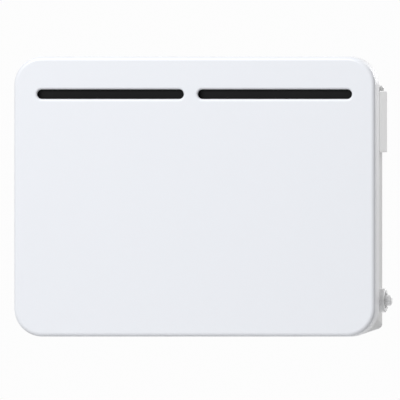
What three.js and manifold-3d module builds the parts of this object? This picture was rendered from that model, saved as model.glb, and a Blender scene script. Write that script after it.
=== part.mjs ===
// Wall-mounted electric panel heater, in millimetres.
// The origin is on the back of the wall bracket, where it meets the wall.
// X runs to the right of someone facing the heater, the front faces -Y and +Z is up.
// "Depth" is counted back from the front face of the panel, so the wall lies at a depth of wallDistance.
import * as THREE from 'three';
import { mergeVertices } from 'three/addons/utils/BufferGeometryUtils.js';
import Module from 'manifold-3d';

const wasm = await Module();
wasm.setup();

// Driving dimensions of the whole heater
const panelWidth = 527.5;
const panelHeight = 400;
const panelCornerRadius = 41;
const wallDistance = 87;

// Fits shared by pieces that meet
const sheetFit = 0.3;
const runningFit = 0.3;
const seamGap = 0.4;
const cutOverrun = 2;

// Front panel: a drawn sheet tray with two rolled air slots
const panelSheet = 1;
const panelEdgeRadius = 8;
const panelDepth = 12;
const slotHeight = 14.4;
const slotDrop = 53.5;
const slotMargin = 33.9;
const slotBridge = 20.8;
const slotBridgeShift = -5.7;
const slotLipRadius = 1.4;
const slotLipDepth = 4;
const slotLipSheet = 1;

// Rim frame behind the panel
const rimSheet = 1;
const rimBack = 31;
const rimSpigotFront = 8;
const rimFlangeWidth = 20;
const rimWindowRadius = 6;

// Rear casing: a drawn tray whose top and bottom slope towards the wall
const casingSheet = 0.8;
const casingBack = 84;
const casingSideInset = 6.5;
const casingTopInsetFront = 8;
const casingBottomInsetFront = 0.5;
const casingTopInsetBack = 50;
const casingBottomInsetBack = 11.5;
const casingFrontRadius = 32;
const casingBackRadius = 6;
const casingBend = 2.5;
const inletLength = 30;
const inletWidth = 4;
const inletPitch = 11;
const inletSpanShare = 0.77;
const inletDepth = 58;
const frameScrewShares = [-0.5, 0.2];
const studShares = [-0.72, 0.05];

// Wall bracket and its hooks
const bracketSheet = 1.5;
const bracketWidth = 290;
const bracketHeight = 250;
const bracketCornerRadius = 14;
const bracketRail = 30;
const bracketLeg = 34;
const hookSpacing = 256;
const hookPitch = 180;
const hookWidth = 16;
const hookReach = 5.1;
const hookHeight = 10;
const hookSideFit = 1;
const hookWindowHeight = 20;
const liftTravel = 12;
const keyholeSpacing = 150;
const keyholeHeadRadius = 5;
const keyholeShankRadius = 2.4;
const keyholeRise = 12;

// Air guide and heat shield
const guideSheet = 0.8;
const guideFlange = 13;
const guideBend = 14;
const guideFall = 2;
const guideFallDrop = 27;
const guideSteps = 12;
const guideSideInset = 23.75;
const shieldSheet = 0.6;
const shieldDepth = 68;
const shieldSideInset = 63.75;
const shieldFoot = 14;
const shieldTopDrop = 92;
const shieldFloorRise = 32;

// Heating element and its carriers
const elementDepth = 50;
const elementRise = 72;
const elementEndGap = 16;
const elementWingSpan = 30;
const elementWingThickness = 2.2;
const elementWingSplay = 24;
const elementHubRadius = 7.5;
const sheathRadius = 4;
const sheathReach = 13;
const carrierSheet = 1;
const carrierGap = 22;
const carrierFoot = 20;
const carrierHalfHeight = 40;
const carrierFront = 36;
const bushRadius = 8;
const bushFlangeRadius = 11;
const bushFlange = 3;
const bushNose = 5;

// Control housing on the right side, with its dial
const pocketWidth = 33.75;
const pocketDrop = 137.8;
const housingFit = 0.3;
const housingHeight = 87;
const housingBack = 85.3;
const housingWall = 2;
const housingCorner = 3.2;
const housingEdge = 1;
const coverSheet = 2;
const coverRecess = 1;
const bossRadius = 3.5;
const bossInset = 6;
const pilotRadius = 1.7;
const housingScrewDepthShares = [0.24, 0.75];
const housingScrewHeightShares = [0.24, 0.76];
const boardSheet = 1.6;
const boardStandoff = 7;
const boardFront = 37;
const boardBack = 80;
const boardInset = 12.2;
const relayHeight = 15;
const relayDepth = 16;
const relayTall = 19;
const relayInset = 4;
const capacitorRadius = 5;
const capacitorLength = 13;
const capacitorEdge = 0.8;
const capacitorInset = 20;
const sensorRadius = 2;
const sensorDepth = 62;
const sensorStand = 6;
const sensorLeg = 2;
const ventCount = 4;
const dialRadius = 10.2;
const dialHeight = 7.4;
const dialGap = 0.4;
const dialDepth = 66;
const dialInset = 10.95;
const dialEdge = 4.4;
const dialFlutes = 18;
const dialFluteRadius = 1.1;
const dialNotchWidth = 1.4;
const dialNotchDepth = 0.6;
const potRadius = 8;
const potHeight = 9;
const potBushRadius = 4.4;
const potFloor = 2;
const shaftRadius = 3;

// Mains switch on the right side
const switchRise = 51.6;
const switchDepth = 57.5;
const collarRadius = 17;
const collarLength = 10.7;
const collarEdge = 1.6;
const collarBoreRadius = 11.5;
const collarFloor = 3;
const noseRadius = 10;
const noseThread = 0.3;
const buttonRadius = 7.5;
const buttonStand = 8.7;
const buttonEdge = 4;
const buttonTravel = 3;
const buttonCapLength = 10;
const stemRadius = 4;
const stemLength = 26;
const switchBodyWidth = 22;
const switchBodyTall = 28;
const switchBodyLength = 27.5;
const springWire = 0.4;
const springRadius = 5.6;
const springTurns = 3;

// Fasteners
const screwShankRadius = 1.5;
const screwHeadRadius = 3.2;
const screwCrownShare = 0.6;
const screwHeadHeight = 2;
const screwLength = 6;
const studRadius = 2.4;
const studHeadRadius = 3.1;
const studFootRadius = 5;
const studFootHeight = 1;
const clipWall = 1.3;
const clipFlange = 1.6;

// Small fittings
const cutoutRadius = 8;
const cutoutHeight = 5;
const cutoutCapRadius = 6.4;
const cutoutCapHeight = 4;
const cutoutEarReach = 15;
const cutoutEarWidth = 8;
const cutoutEarSheet = 1.2;
const cutoutRise = 90;
const terminalWidth = 24;
const terminalThickness = 15;
const terminalPitch = 12;
const terminalWays = 3;
const terminalBoreRadius = 2.2;
const terminalScrewRadius = 2.6;
const terminalRise = 66;
const bufferRadius = 9;
const bufferDome = 0.9;
const grommetBore = 4;
const grommetNeck = 6.5;
const grommetFlange = 9.5;
const grommetLip = 2;
const grommetInset = 64;
const grommetDepth = 66;

// Leads between the electrical pieces
const leadRadius = 1.6;
const leadFit = 0.5;
const leadStride = 9.6;
const leadSides = 8;
const leadBend = 4;
const leadSweep = 16;

const halfWidth = panelWidth / 2;
const halfHeight = panelHeight / 2;
const guideWidth = panelWidth - 2 * guideSideInset;
const shieldHalfWidth = halfWidth - shieldSideInset;
const shieldTop = halfHeight - shieldTopDrop;
const shieldBottom = shieldFloorRise - halfHeight;
const carrierPlace = shieldHalfWidth + carrierGap;
const elementHeight = elementRise - halfHeight;
const elementLength = 2 * (carrierPlace - elementEndGap);
const sheathLength = 2 * (carrierPlace + sheathReach);
const inletCount = Math.round((2 * shieldHalfWidth * inletSpanShare) / inletPitch);
const pocketInner = halfWidth - pocketWidth;
const pocketFloor = halfHeight - pocketDrop;
const dialPlace = halfWidth - dialInset;
const switchHeight = switchRise - halfHeight;
const cornerSteps = 8;
const rollSteps = 5;
const lipSteps = 4;
const roundSteps = 20;
const smallSteps = 8;
const collarSteps = 32;
const springSteps = 8;
const springSides = 6;

const whitePaint = 0xebeef4;
const whitePlastic = 0xe9ebee;
const blackPaint = 0x222324;
const zinc = 0xb9bcc0;
const aluminium = 0xc9cbce;
const ceramic = 0xe4dfd2;
const blackRubber = 0x1c1c1d;
const blackPlastic = 0x2a2b2d;
const boardGreen = 0x2f6b45;
const leadWhite = 0xd8d4c8;

const yAt = (depth) => depth - wallDistance;

// Pairs of [inset, rise] round a quarter circle, from its upright side to its flat top.
const quarterRound = (radius, steps) =>
  Array.from({ length: steps + 1 }, (_, i) => {
    const angle = (i / steps) * (Math.PI / 2);
    return [radius * (1 - Math.cos(angle)), radius * Math.sin(angle)];
  });

// Turns a closed geometry into a solid that can be joined and cut.
function solid(geometry) {
  const bare = geometry.clone();
  bare.deleteAttribute('normal');
  bare.deleteAttribute('uv');
  const merged = mergeVertices(bare);
  const vertProperties = new Float32Array(merged.attributes.position.array);
  const triVerts = new Uint32Array(merged.index.array);
  return new wasm.Manifold(new wasm.Mesh({ numProp: 3, vertProperties, triVerts }));
}

// Turns a solid back into a geometry for a mesh.
function geometryOf(made) {
  const mesh = made.getMesh();
  const geometry = new THREE.BufferGeometry();
  geometry.setAttribute('position', new THREE.BufferAttribute(new Float32Array(mesh.vertProperties), 3));
  geometry.setIndex(new THREE.BufferAttribute(new Uint32Array(mesh.triVerts), 1));
  geometry.computeVertexNormals();
  return geometry;
}

const joined = (solids) => solids.reduce((sum, next) => sum.add(next));
const cut = (body, cutters) => cutters.reduce((rest, next) => rest.subtract(next), body);

// A box between two corners.
function block([x0, x1], [y0, y1], [z0, z1]) {
  const geometry = new THREE.BoxGeometry(x1 - x0, y1 - y0, z1 - z0);
  geometry.translate((x0 + x1) / 2, (y0 + y1) / 2, (z0 + z1) / 2);
  return solid(geometry);
}

// A box given by its range of depth instead of Y.
const blockAtDepth = (xRange, [d0, d1], zRange) => block(xRange, [yAt(d0), yAt(d1)], zRange);

// Lofts a closed skin over rings of as many points each, with flat convex ends.
function loft(rings) {
  const count = rings[0].length;
  const positions = rings.flat().flatMap((point) => point.toArray());
  const faces = [];
  for (let r = 0; r + 1 < rings.length; r += 1) {
    for (let k = 0; k < count; k += 1) {
      const a = r * count + k;
      const b = r * count + ((k + 1) % count);
      faces.push(a, b + count, b, a, a + count, b + count);
    }
  }
  const last = (rings.length - 1) * count;
  for (let k = 1; k + 1 < count; k += 1) {
    faces.push(0, k, k + 1, last, last + k + 1, last + k);
  }
  const geometry = new THREE.BufferGeometry();
  geometry.setAttribute('position', new THREE.Float32BufferAttribute(positions, 3));
  geometry.setIndex(faces);
  return solid(geometry);
}

// Points of a rounded rectangle, anticlockwise from the middle of its right-hand bottom arc's start.
function roundedOutline({ left, right, bottom, top, lowRadius, highRadius }, steps = cornerSteps) {
  const corners = [
    [right - lowRadius, bottom + lowRadius, lowRadius, -Math.PI / 2],
    [right - highRadius, top - highRadius, highRadius, 0],
    [left + highRadius, top - highRadius, highRadius, Math.PI / 2],
    [left + lowRadius, bottom + lowRadius, lowRadius, Math.PI],
  ];
  return corners.flatMap(([u, v, radius, start]) =>
    Array.from({ length: steps + 1 }, (_, i) => {
      const angle = start + (i / steps) * (Math.PI / 2);
      return [u + radius * Math.cos(angle), v + radius * Math.sin(angle)];
    }),
  );
}

// A rounded rectangle about a centre.
const roundedBox = (width, height, radius) => ({
  left: -width / 2,
  right: width / 2,
  bottom: -height / 2,
  top: height / 2,
  lowRadius: radius,
  highRadius: radius,
});

// Draws a rounded rectangle in on every side, its corners with it.
const drawnIn = (box, inset) => ({
  left: box.left + inset,
  right: box.right - inset,
  bottom: box.bottom + inset,
  top: box.top - inset,
  lowRadius: box.lowRadius - inset,
  highRadius: box.highRadius - inset,
});

// A ring at one depth, from points across X and Z.
const ringAtDepth = (points, depth) => points.map(([x, z]) => new THREE.Vector3(x, yAt(depth), z));

// A ring across Y and Z at one X. Its points are mirrored so that the loft along +X faces out.
const ringAtX = (points, x) => points.map(([y, z]) => new THREE.Vector3(x, y, z)).reverse();

// A flat piece of even thickness from an outline across X and Z.
function plateAtDepth(points, [front, back], holes = []) {
  const shape = new THREE.Shape(points.map(([x, z]) => new THREE.Vector2(x, z)));
  shape.holes = holes.map((hole) => new THREE.Path(hole.map(([x, z]) => new THREE.Vector2(x, z))));
  const geometry = new THREE.ExtrudeGeometry(shape, { depth: back - front, bevelEnabled: false });
  geometry.rotateX(Math.PI / 2);
  geometry.translate(0, yAt(back), 0);
  return solid(geometry);
}

// A bar of constant section along X, from an outline across depth and Z.
function barAlongX(points, [x0, x1], holes = []) {
  const shape = new THREE.Shape(points.map(([depth, z]) => new THREE.Vector2(yAt(depth), z)));
  shape.holes = holes.map(
    (hole) => new THREE.Path(hole.map(([depth, z]) => new THREE.Vector2(yAt(depth), z))),
  );
  const geometry = new THREE.ExtrudeGeometry(shape, { depth: x1 - x0, bevelEnabled: false });
  const toX = new THREE.Matrix4().makeBasis(
    new THREE.Vector3(0, 1, 0),
    new THREE.Vector3(0, 0, 1),
    new THREE.Vector3(1, 0, 0),
  );
  geometry.applyMatrix4(toX);
  geometry.translate(x0, 0, 0);
  return solid(geometry);
}

// A bar of constant section standing along Z, from an outline across X and depth.
function barAlongZ(points, [z0, z1]) {
  const shape = new THREE.Shape(points.map(([x, depth]) => new THREE.Vector2(x, yAt(depth))));
  const geometry = new THREE.ExtrudeGeometry(shape, { depth: z1 - z0, bevelEnabled: false });
  geometry.translate(0, 0, z0);
  return solid(geometry);
}

// A turned piece: its profile of [radius, height] pairs starts and ends on the axis, or closes on itself.
function turned(profile, direction, place, steps = smallSteps) {
  const points = profile.map(([radius, height]) => new THREE.Vector2(radius, height));
  const geometry = new THREE.LatheGeometry(points, steps);
  const turn = new THREE.Quaternion().setFromUnitVectors(new THREE.Vector3(0, 1, 0), direction);
  geometry.applyQuaternion(turn);
  geometry.translate(place.x, place.y, place.z);
  return solid(geometry);
}

const alongX = new THREE.Vector3(1, 0, 0);
const againstX = new THREE.Vector3(-1, 0, 0);
const alongY = new THREE.Vector3(0, 1, 0);
const againstY = new THREE.Vector3(0, -1, 0);
const alongZ = new THREE.Vector3(0, 0, 1);
const placeAt = (x, depth, z) => new THREE.Vector3(x, yAt(depth), z);

// A plain round rod from its foot.
const rod = (radius, length, direction, place, steps) =>
  turned([[0, 0], [radius, 0], [radius, length], [0, length]], direction, place, steps);

// Points of a circle across two axes.
const circle = (u, v, radius, steps = smallSteps) =>
  Array.from({ length: steps }, (_, i) => {
    const angle = (i / steps) * 2 * Math.PI;
    return [u + radius * Math.cos(angle), v + radius * Math.sin(angle)];
  });

// Points of a slot with round ends, grown on every side.
function slotOutline(x0, x1, z, height, growth) {
  const radius = height / 2 + growth;
  const ends = [[x1 - height / 2, -Math.PI / 2], [x0 + height / 2, Math.PI / 2]];
  return ends.flatMap(([x, start]) =>
    Array.from({ length: cornerSteps + 1 }, (_, i) => {
      const angle = start + (i / cornerSteps) * Math.PI;
      return [x + radius * Math.cos(angle), z + radius * Math.sin(angle)];
    }),
  );
}

const heater = new THREE.Group();

// Adds one named piece with a material of its own.
function addPiece(name, made, color, roughness, metalness = 0) {
  const material = new THREE.MeshStandardMaterial({ color, roughness, metalness });
  const mesh = new THREE.Mesh(geometryOf(made), material);
  mesh.name = name;
  heater.add(mesh);
}

const panelBox = roundedBox(panelWidth, panelHeight, panelCornerRadius);
const slotZ = halfHeight - slotDrop;
const bridgeLeft = slotBridgeShift - slotBridge / 2;
const bridgeRight = slotBridgeShift + slotBridge / 2;
const airSlots = [
  [slotMargin - halfWidth, bridgeLeft],
  [bridgeRight, halfWidth - slotMargin],
];

// The panel's skin, or its hollow when drawn in by one sheet: a flat face with a rolled edge.
function rolledTray(sheet, back) {
  const roll = quarterRound(panelEdgeRadius - sheet, rollSteps).reverse();
  const edge = roll.map(([inset, rise]) =>
    ringAtDepth(roundedOutline(drawnIn(panelBox, sheet + inset)), panelEdgeRadius - rise),
  );
  return loft([...edge, ringAtDepth(roundedOutline(drawnIn(panelBox, sheet)), back)]);
}

// The throat of one air slot, flared at the face by the radius of its rolled lip.
function slotThroat([x0, x1]) {
  const ring = (growth, depth) => ringAtDepth(slotOutline(x0, x1, slotZ, slotHeight, growth), depth);
  const flare = quarterRound(slotLipRadius, lipSteps).reverse();
  return loft([
    ring(slotLipRadius, -cutOverrun),
    ...flare.map(([inset, rise]) => ring(inset, slotLipRadius - rise)),
    ring(0, slotLipDepth + cutOverrun),
  ]);
}

function frontPanel() {
  const skin = rolledTray(0, panelDepth);
  const hollow = rolledTray(panelSheet, panelDepth + cutOverrun);
  const lips = airSlots.map(([x0, x1]) =>
    plateAtDepth(slotOutline(x0, x1, slotZ, slotHeight, slotLipSheet), [panelSheet / 2, slotLipDepth]),
  );
  return cut(joined([cut(skin, [hollow]), ...lips]), airSlots.map(slotThroat));
}

const rimFront = panelDepth + seamGap;
const spigotInset = panelSheet + sheetFit;
const rimWindow = {
  ...drawnIn(panelBox, rimFlangeWidth),
  lowRadius: rimWindowRadius,
  highRadius: rimWindowRadius,
};

function rimFrame() {
  const outer = loft([
    ringAtDepth(roundedOutline(drawnIn(panelBox, spigotInset)), rimSpigotFront),
    ringAtDepth(roundedOutline(drawnIn(panelBox, spigotInset)), rimFront),
    ringAtDepth(roundedOutline(panelBox), rimFront),
    ringAtDepth(roundedOutline(panelBox), rimBack),
  ]);
  const inner = loft([
    ringAtDepth(roundedOutline(drawnIn(panelBox, spigotInset + rimSheet)), rimSpigotFront - cutOverrun),
    ringAtDepth(roundedOutline(drawnIn(panelBox, spigotInset + rimSheet)), rimFront + rimSheet),
    ringAtDepth(roundedOutline(drawnIn(panelBox, rimSheet)), rimFront + rimSheet),
    ringAtDepth(roundedOutline(drawnIn(panelBox, rimSheet)), rimBack - rimSheet),
    ringAtDepth(roundedOutline(rimWindow), rimBack - rimSheet),
    ringAtDepth(roundedOutline(rimWindow), rimBack + cutOverrun),
  ]);
  const screwHoles = frameScrewPlaces.map(([x, z]) => boreThroughFlanges(x, z, pilotRadius));
  const clipHoles = studPlaces.map(([x, z]) => boreThroughFlanges(x, z, clipOuterRadius + sheetFit));
  return cut(cut(outer, [inner]), [...screwHoles, ...clipHoles]);
}

// The casing's outline across X and Z at a depth, between its front and back outlines.
function casingBox(depth, inset) {
  const share = (depth - rimBack) / (casingBack - rimBack);
  const between = (front, back) => front + (back - front) * share;
  const radius = between(casingFrontRadius, casingBackRadius);
  const box = {
    left: casingSideInset - halfWidth,
    right: halfWidth - casingSideInset,
    bottom: between(casingBottomInsetFront, casingBottomInsetBack) - halfHeight,
    top: halfHeight - between(casingTopInsetFront, casingTopInsetBack),
    lowRadius: radius,
    highRadius: radius,
  };
  return drawnIn(box, inset);
}

const casingRight = halfWidth - casingSideInset;
const casingInnerBack = casingBack - casingSheet;
const housingLeft = pocketInner + casingSheet + housingFit;
const housingBottom = pocketFloor + casingSheet + housingFit;
const housingTop = housingBottom + housingHeight;
const housingFront = rimBack + casingSheet + housingFit;

// The corner taken out of the casing for the control housing, open to the side, the top and the back.
function pocket(sheet) {
  const reach = halfWidth + cutOverrun;
  return blockAtDepth(
    [pocketInner + sheet, reach],
    [rimBack + sheet, casingBack + cutOverrun],
    [pocketFloor + sheet, halfHeight + cutOverrun],
  );
}

const bottomInlets = Array.from({ length: inletCount }, (_, i) => (i - (inletCount - 1) / 2) * inletPitch);

function inletSlot(x) {
  const bottom = casingBox(inletDepth, 0).bottom;
  return blockAtDepth(
    [x - inletWidth / 2, x + inletWidth / 2],
    [inletDepth - inletLength / 2, inletDepth + inletLength / 2],
    [bottom - inletLength / 2, bottom + inletLength / 2],
  );
}

const hookPlaces = [-1, 1].flatMap((side) =>
  [-1, 1].map((row) => [(side * hookSpacing) / 2, (row * hookPitch) / 2]),
);

// The slot in the casing's back that drops over one hook.
function hookSlot([x, z]) {
  const low = z - liftTravel - bracketSheet;
  const high = z + bracketSheet + sheetFit;
  const half = hookWidth / 2 + hookSideFit;
  const through = [casingInnerBack - cutOverrun, casingBack + cutOverrun];
  return blockAtDepth([x - half, x + half], through, [low, high]);
}

// Screws and studs sit in the middle of the two flanges that lie on each other.
const flangeMiddle = halfWidth - (casingSideInset + rimFlangeWidth) / 2;
const frameScrewPlaces = [-1, 1].flatMap((side) => [
  ...frameScrewShares.map((share) => [side * flangeMiddle, share * halfHeight]),
  [(side * halfWidth) / 2, rimWindow.top + screwHeadRadius + sheetFit],
  [(side * halfWidth) / 2, rimWindow.bottom - screwHeadRadius - sheetFit],
]);
const studPlaces = [-1, 1].flatMap((side) =>
  studShares.map((share) => [side * flangeMiddle, share * halfHeight]),
);
const clipOuterRadius = studHeadRadius + runningFit + clipWall;

function boreThroughFlanges(x, z, radius) {
  const start = rimBack - rimSheet - cutOverrun;
  const length = rimSheet + casingSheet + 2 * cutOverrun;
  return rod(radius, length, alongY, placeAt(x, start, z));
}

function boreThroughBack(x, z) {
  const start = casingInnerBack - shieldSheet - cutOverrun;
  return rod(pilotRadius, shieldSheet + casingSheet + 2 * cutOverrun, alongY, placeAt(x, start, z));
}

const housingScrewPlaces = housingScrewDepthShares.map((share, i) => [
  housingFront + (housingBack - housingFront) * share,
  housingBottom + housingHeight * housingScrewHeightShares[i],
]);

function rearCasing() {
  const ring = (depth, inset) => ringAtDepth(roundedOutline(casingBox(depth, inset)), depth);
  const bendDepth = casingBack - casingBend;
  const bend = (radius) => quarterRound(radius, lipSteps / 2);
  const outer = loft([
    ring(rimBack, 0),
    ...bend(casingBend).map(([inset, rise]) => ring(bendDepth + rise, inset)),
  ]);
  const hollow = loft([
    ring(rimBack + casingSheet, casingSheet),
    ...bend(casingBend - casingSheet).map(([inset, rise]) => ring(bendDepth + rise, casingSheet + inset)),
  ]);
  const flange = [rimBack - cutOverrun, rimBack + casingSheet + cutOverrun];
  const window = plateAtDepth(roundedOutline(rimWindow), flange);
  const switchHole = rod(
    noseRadius + sheetFit,
    2 * cutOverrun + casingSheet,
    alongX,
    placeAt(casingRight - casingSheet - cutOverrun, switchDepth, switchHeight),
    roundSteps,
  );
  const housingHoles = housingScrewPlaces.map(([depth, z]) =>
    rod(pilotRadius, casingSheet + 2 * cutOverrun, alongX, placeAt(pocketInner - cutOverrun, depth, z)),
  );
  return cut(outer, [
    cut(hollow, [pocket(0)]),
    window.subtract(pocket(0)),
    pocket(casingSheet),
    switchHole,
    grommetHole(),
    controlLeadHole(),
    ...housingHoles,
    ...hookPlaces.map(hookSlot),
    ...bottomInlets.map(inletSlot),
    ...frameScrewPlaces.map(([x, z]) => boreThroughFlanges(x, z, pilotRadius)),
    ...studPlaces.map(([x, z]) => boreThroughFlanges(x, z, clipOuterRadius + sheetFit)),
    ...shieldScrewPlaces.map(([x, z]) => boreThroughBack(x, z)),
  ]);
}

// The sheet that turns the rising air forward through the slots.
// It has a flange on the panel's inside, falls close behind the slots, then runs back to the heat shield.
function airGuide() {
  const flangeFoot = slotZ + slotHeight / 2 + slotLipSheet + 2 * guideSheet;
  const start = new THREE.Vector2(panelSheet, flangeFoot);
  const bend = new THREE.Vector2(guideBend, flangeFoot);
  const fall = new THREE.Vector2(guideFall, slotZ - guideFallDrop);
  const end = new THREE.Vector2(shieldDepth - guideSheet - sheetFit, shieldTop - guideSheet);
  const curve = new THREE.CubicBezierCurve(start, bend, fall, end);
  const line = curve.getPoints(guideSteps);
  const normals = line.map((_, i) => {
    const tangent = curve.getTangent(i / guideSteps);
    return new THREE.Vector2(-tangent.y, tangent.x).multiplyScalar(guideSheet);
  });
  const front = line.map(({ x, y }) => [x, y]);
  const behind = line.map(({ x, y }, i) => [x + normals[i].x, y + normals[i].y]).reverse();
  const flangeTop = flangeFoot + guideFlange;
  behind[behind.length - 1] = [panelSheet + guideSheet, flangeFoot + guideSheet];
  const outline = [...front, ...behind, [panelSheet + guideSheet, flangeTop], [panelSheet, flangeTop]];
  const sheet = barAlongX(outline, [-guideWidth / 2, guideWidth / 2]);
  const besidePocket = blockAtDepth(
    [pocketInner - sheetFit, halfWidth],
    [rimBack - rimSheet - sheetFit, casingBack],
    [pocketFloor, halfHeight],
  );
  return sheet.subtract(besidePocket);
}

const shieldScrewPlaces = [-1, 1].flatMap((side) => [
  [side * (shieldHalfWidth + shieldFoot / 2), shieldTop - shieldFoot],
  [side * (shieldHalfWidth + shieldFoot / 2), shieldBottom + shieldFoot],
]);

// A hat section: the web stands off the casing's back on two legs with feet.
function heatShield() {
  const foot = shieldHalfWidth + shieldFoot;
  const half = [
    [foot, casingInnerBack],
    [shieldHalfWidth - shieldSheet, casingInnerBack],
    [shieldHalfWidth - shieldSheet, shieldDepth + shieldSheet],
  ];
  const outerHalf = [
    [shieldHalfWidth, shieldDepth],
    [shieldHalfWidth, casingInnerBack - shieldSheet],
    [foot, casingInnerBack - shieldSheet],
  ];
  const mirror = (points) => points.map(([x, depth]) => [-x, depth]).reverse();
  const outline = [...half, ...mirror(half), ...mirror(outerHalf), ...outerHalf];
  const holes = shieldScrewPlaces.map(([x, z]) => boreThroughBack(x, z));
  return cut(barAlongZ(outline, [shieldBottom, shieldTop]), holes);
}

// An X-shaped aluminium extrusion with a bore for the sheathed element.
function heatingElement() {
  const outline = [];
  const wingAngles = [90, 270].flatMap((angle) => [angle - elementWingSplay, angle + elementWingSplay]);
  const halfWing = elementWingThickness / 2;
  for (const angle of wingAngles) {
    const along = THREE.MathUtils.degToRad(angle);
    const half = Math.asin(halfWing / elementHubRadius);
    const side = new THREE.Vector2(-Math.sin(along), Math.cos(along)).multiplyScalar(halfWing);
    const tip = new THREE.Vector2(Math.cos(along), Math.sin(along)).multiplyScalar(elementWingSpan);
    const root = (turn) => [
      elementDepth + elementHubRadius * Math.cos(along + turn),
      elementHeight + elementHubRadius * Math.sin(along + turn),
    ];
    outline.push(root(-half));
    outline.push([elementDepth + tip.x - side.x, elementHeight + tip.y - side.y]);
    outline.push([elementDepth + tip.x + side.x, elementHeight + tip.y + side.y]);
    outline.push(root(half));
    outline.push(...hubArc(along, half, wingAngles.indexOf(angle) % 2 === 1));
  }
  const bore = circle(elementDepth, elementHeight, sheathRadius + sheetFit).reverse();
  return barAlongX(outline, [-elementLength / 2, elementLength / 2], [bore]);
}

const elementSheath = () =>
  rod(sheathRadius, sheathLength, alongX, placeAt(-sheathLength / 2, elementDepth, elementHeight));

// Points round the hub from one wing to the next: the wide way round at the front and the back.
function hubArc(along, half, wide) {
  const splay = THREE.MathUtils.degToRad(elementWingSplay);
  const sweep = wide ? Math.PI - 2 * splay : 2 * splay;
  const steps = wide ? cornerSteps / 2 : 2;
  const points = [];
  for (let i = 1; i < steps; i += 1) {
    const angle = along + half + ((sweep - 2 * half) * i) / steps;
    const depth = elementDepth + elementHubRadius * Math.cos(angle);
    points.push([depth, elementHeight + elementHubRadius * Math.sin(angle)]);
  }
  return points;
}

// The upright that carries one end of the element, with a foot on the casing's back.
function elementCarrier(side) {
  const web = side * carrierPlace;
  const outer = side * (carrierPlace + carrierSheet);
  const foot = side * (carrierPlace + carrierFoot);
  const profile = [
    [web, carrierFront],
    [outer, carrierFront],
    [outer, casingInnerBack - carrierSheet],
    [foot, casingInnerBack - carrierSheet],
    [foot, casingInnerBack],
    [web, casingInnerBack],
  ];
  const bar = barAlongZ(
    side > 0 ? profile : profile.reverse(),
    [elementHeight - carrierHalfHeight, elementHeight + carrierHalfHeight],
  );
  const hole = rod(
    bushRadius + sheetFit,
    2 * cutOverrun + carrierSheet,
    alongX,
    placeAt(Math.min(web, outer) - cutOverrun, elementDepth, elementHeight),
    roundSteps,
  );
  return bar.subtract(hole);
}

// A ceramic bush with its flange on the element's side of the carrier.
function elementBush(side) {
  const bore = sheathRadius + sheetFit;
  const profile = [
    [bore, -bushFlange],
    [bushFlangeRadius, -bushFlange],
    [bushFlangeRadius, 0],
    [bushRadius, 0],
    [bushRadius, carrierSheet + bushNose],
    [bore, carrierSheet + bushNose],
    [bore, -bushFlange],
  ];
  const direction = side > 0 ? alongX : againstX;
  return turned(profile, direction, placeAt(side * carrierPlace, elementDepth, elementHeight), roundSteps);
}

// A pan-head screw whose head rests at the given place and whose shank runs on past it.
function screw(place, direction, length = screwLength) {
  const profile = [
    [0, -screwHeadHeight],
    [screwHeadRadius * screwCrownShare, -screwHeadHeight],
    [screwHeadRadius, -screwHeadHeight / 2],
    [screwHeadRadius, 0],
    [screwShankRadius, 0],
    [screwShankRadius, length],
    [0, length],
  ];
  return turned(profile, direction, place);
}

// A stud welded to the panel's inside, whose head snaps into a clip in the rim's flange.
function panelStud([x, z]) {
  const length = rimBack - panelSheet + casingSheet;
  const neck = length - rimSheet - casingSheet - clipFlange;
  const profile = [
    [0, 0],
    [studFootRadius, 0],
    [studFootRadius, studFootHeight],
    [studRadius, studFootHeight + studRadius / 2],
    [studRadius, neck],
    [studHeadRadius, neck + clipFlange],
    [studHeadRadius, length - clipWall],
    [studHeadRadius / 2, length],
    [0, length],
  ];
  return turned(profile, alongY, placeAt(x, panelSheet, z));
}

// The nylon clip that holds a stud: a flanged sleeve in the hole through both flanges.
function studClip([x, z]) {
  const bore = studHeadRadius + runningFit;
  const sleeve = rimSheet + casingSheet;
  const profile = [
    [bore, -clipFlange],
    [clipOuterRadius + clipWall, -clipFlange],
    [clipOuterRadius + clipWall, 0],
    [clipOuterRadius, 0],
    [clipOuterRadius, sleeve],
    [bore, sleeve],
    [bore, -clipFlange],
  ];
  return turned(profile, alongY, placeAt(x, rimBack - rimSheet, z));
}

// The control housing's outline across Y and Z.
function housingBox(inset) {
  return drawnIn(
    {
      left: yAt(housingFront),
      right: yAt(housingBack),
      bottom: housingBottom,
      top: housingTop,
      lowRadius: housingCorner,
      highRadius: housingCorner,
    },
    inset,
  );
}

// The cover's two screw bosses stand in opposite corners.
const bossCentre = housingWall + bossInset - bossRadius / 2;
const bossPlaces = [
  [housingLeft + bossCentre, housingTop - bossCentre],
  [halfWidth - bossCentre, housingBottom + bossCentre],
];
const coverFront = housingBack - coverRecess - coverSheet;
const boardLeft = housingLeft + boardStandoff + housingWall;
const boardRight = boardLeft + boardSheet;

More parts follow.
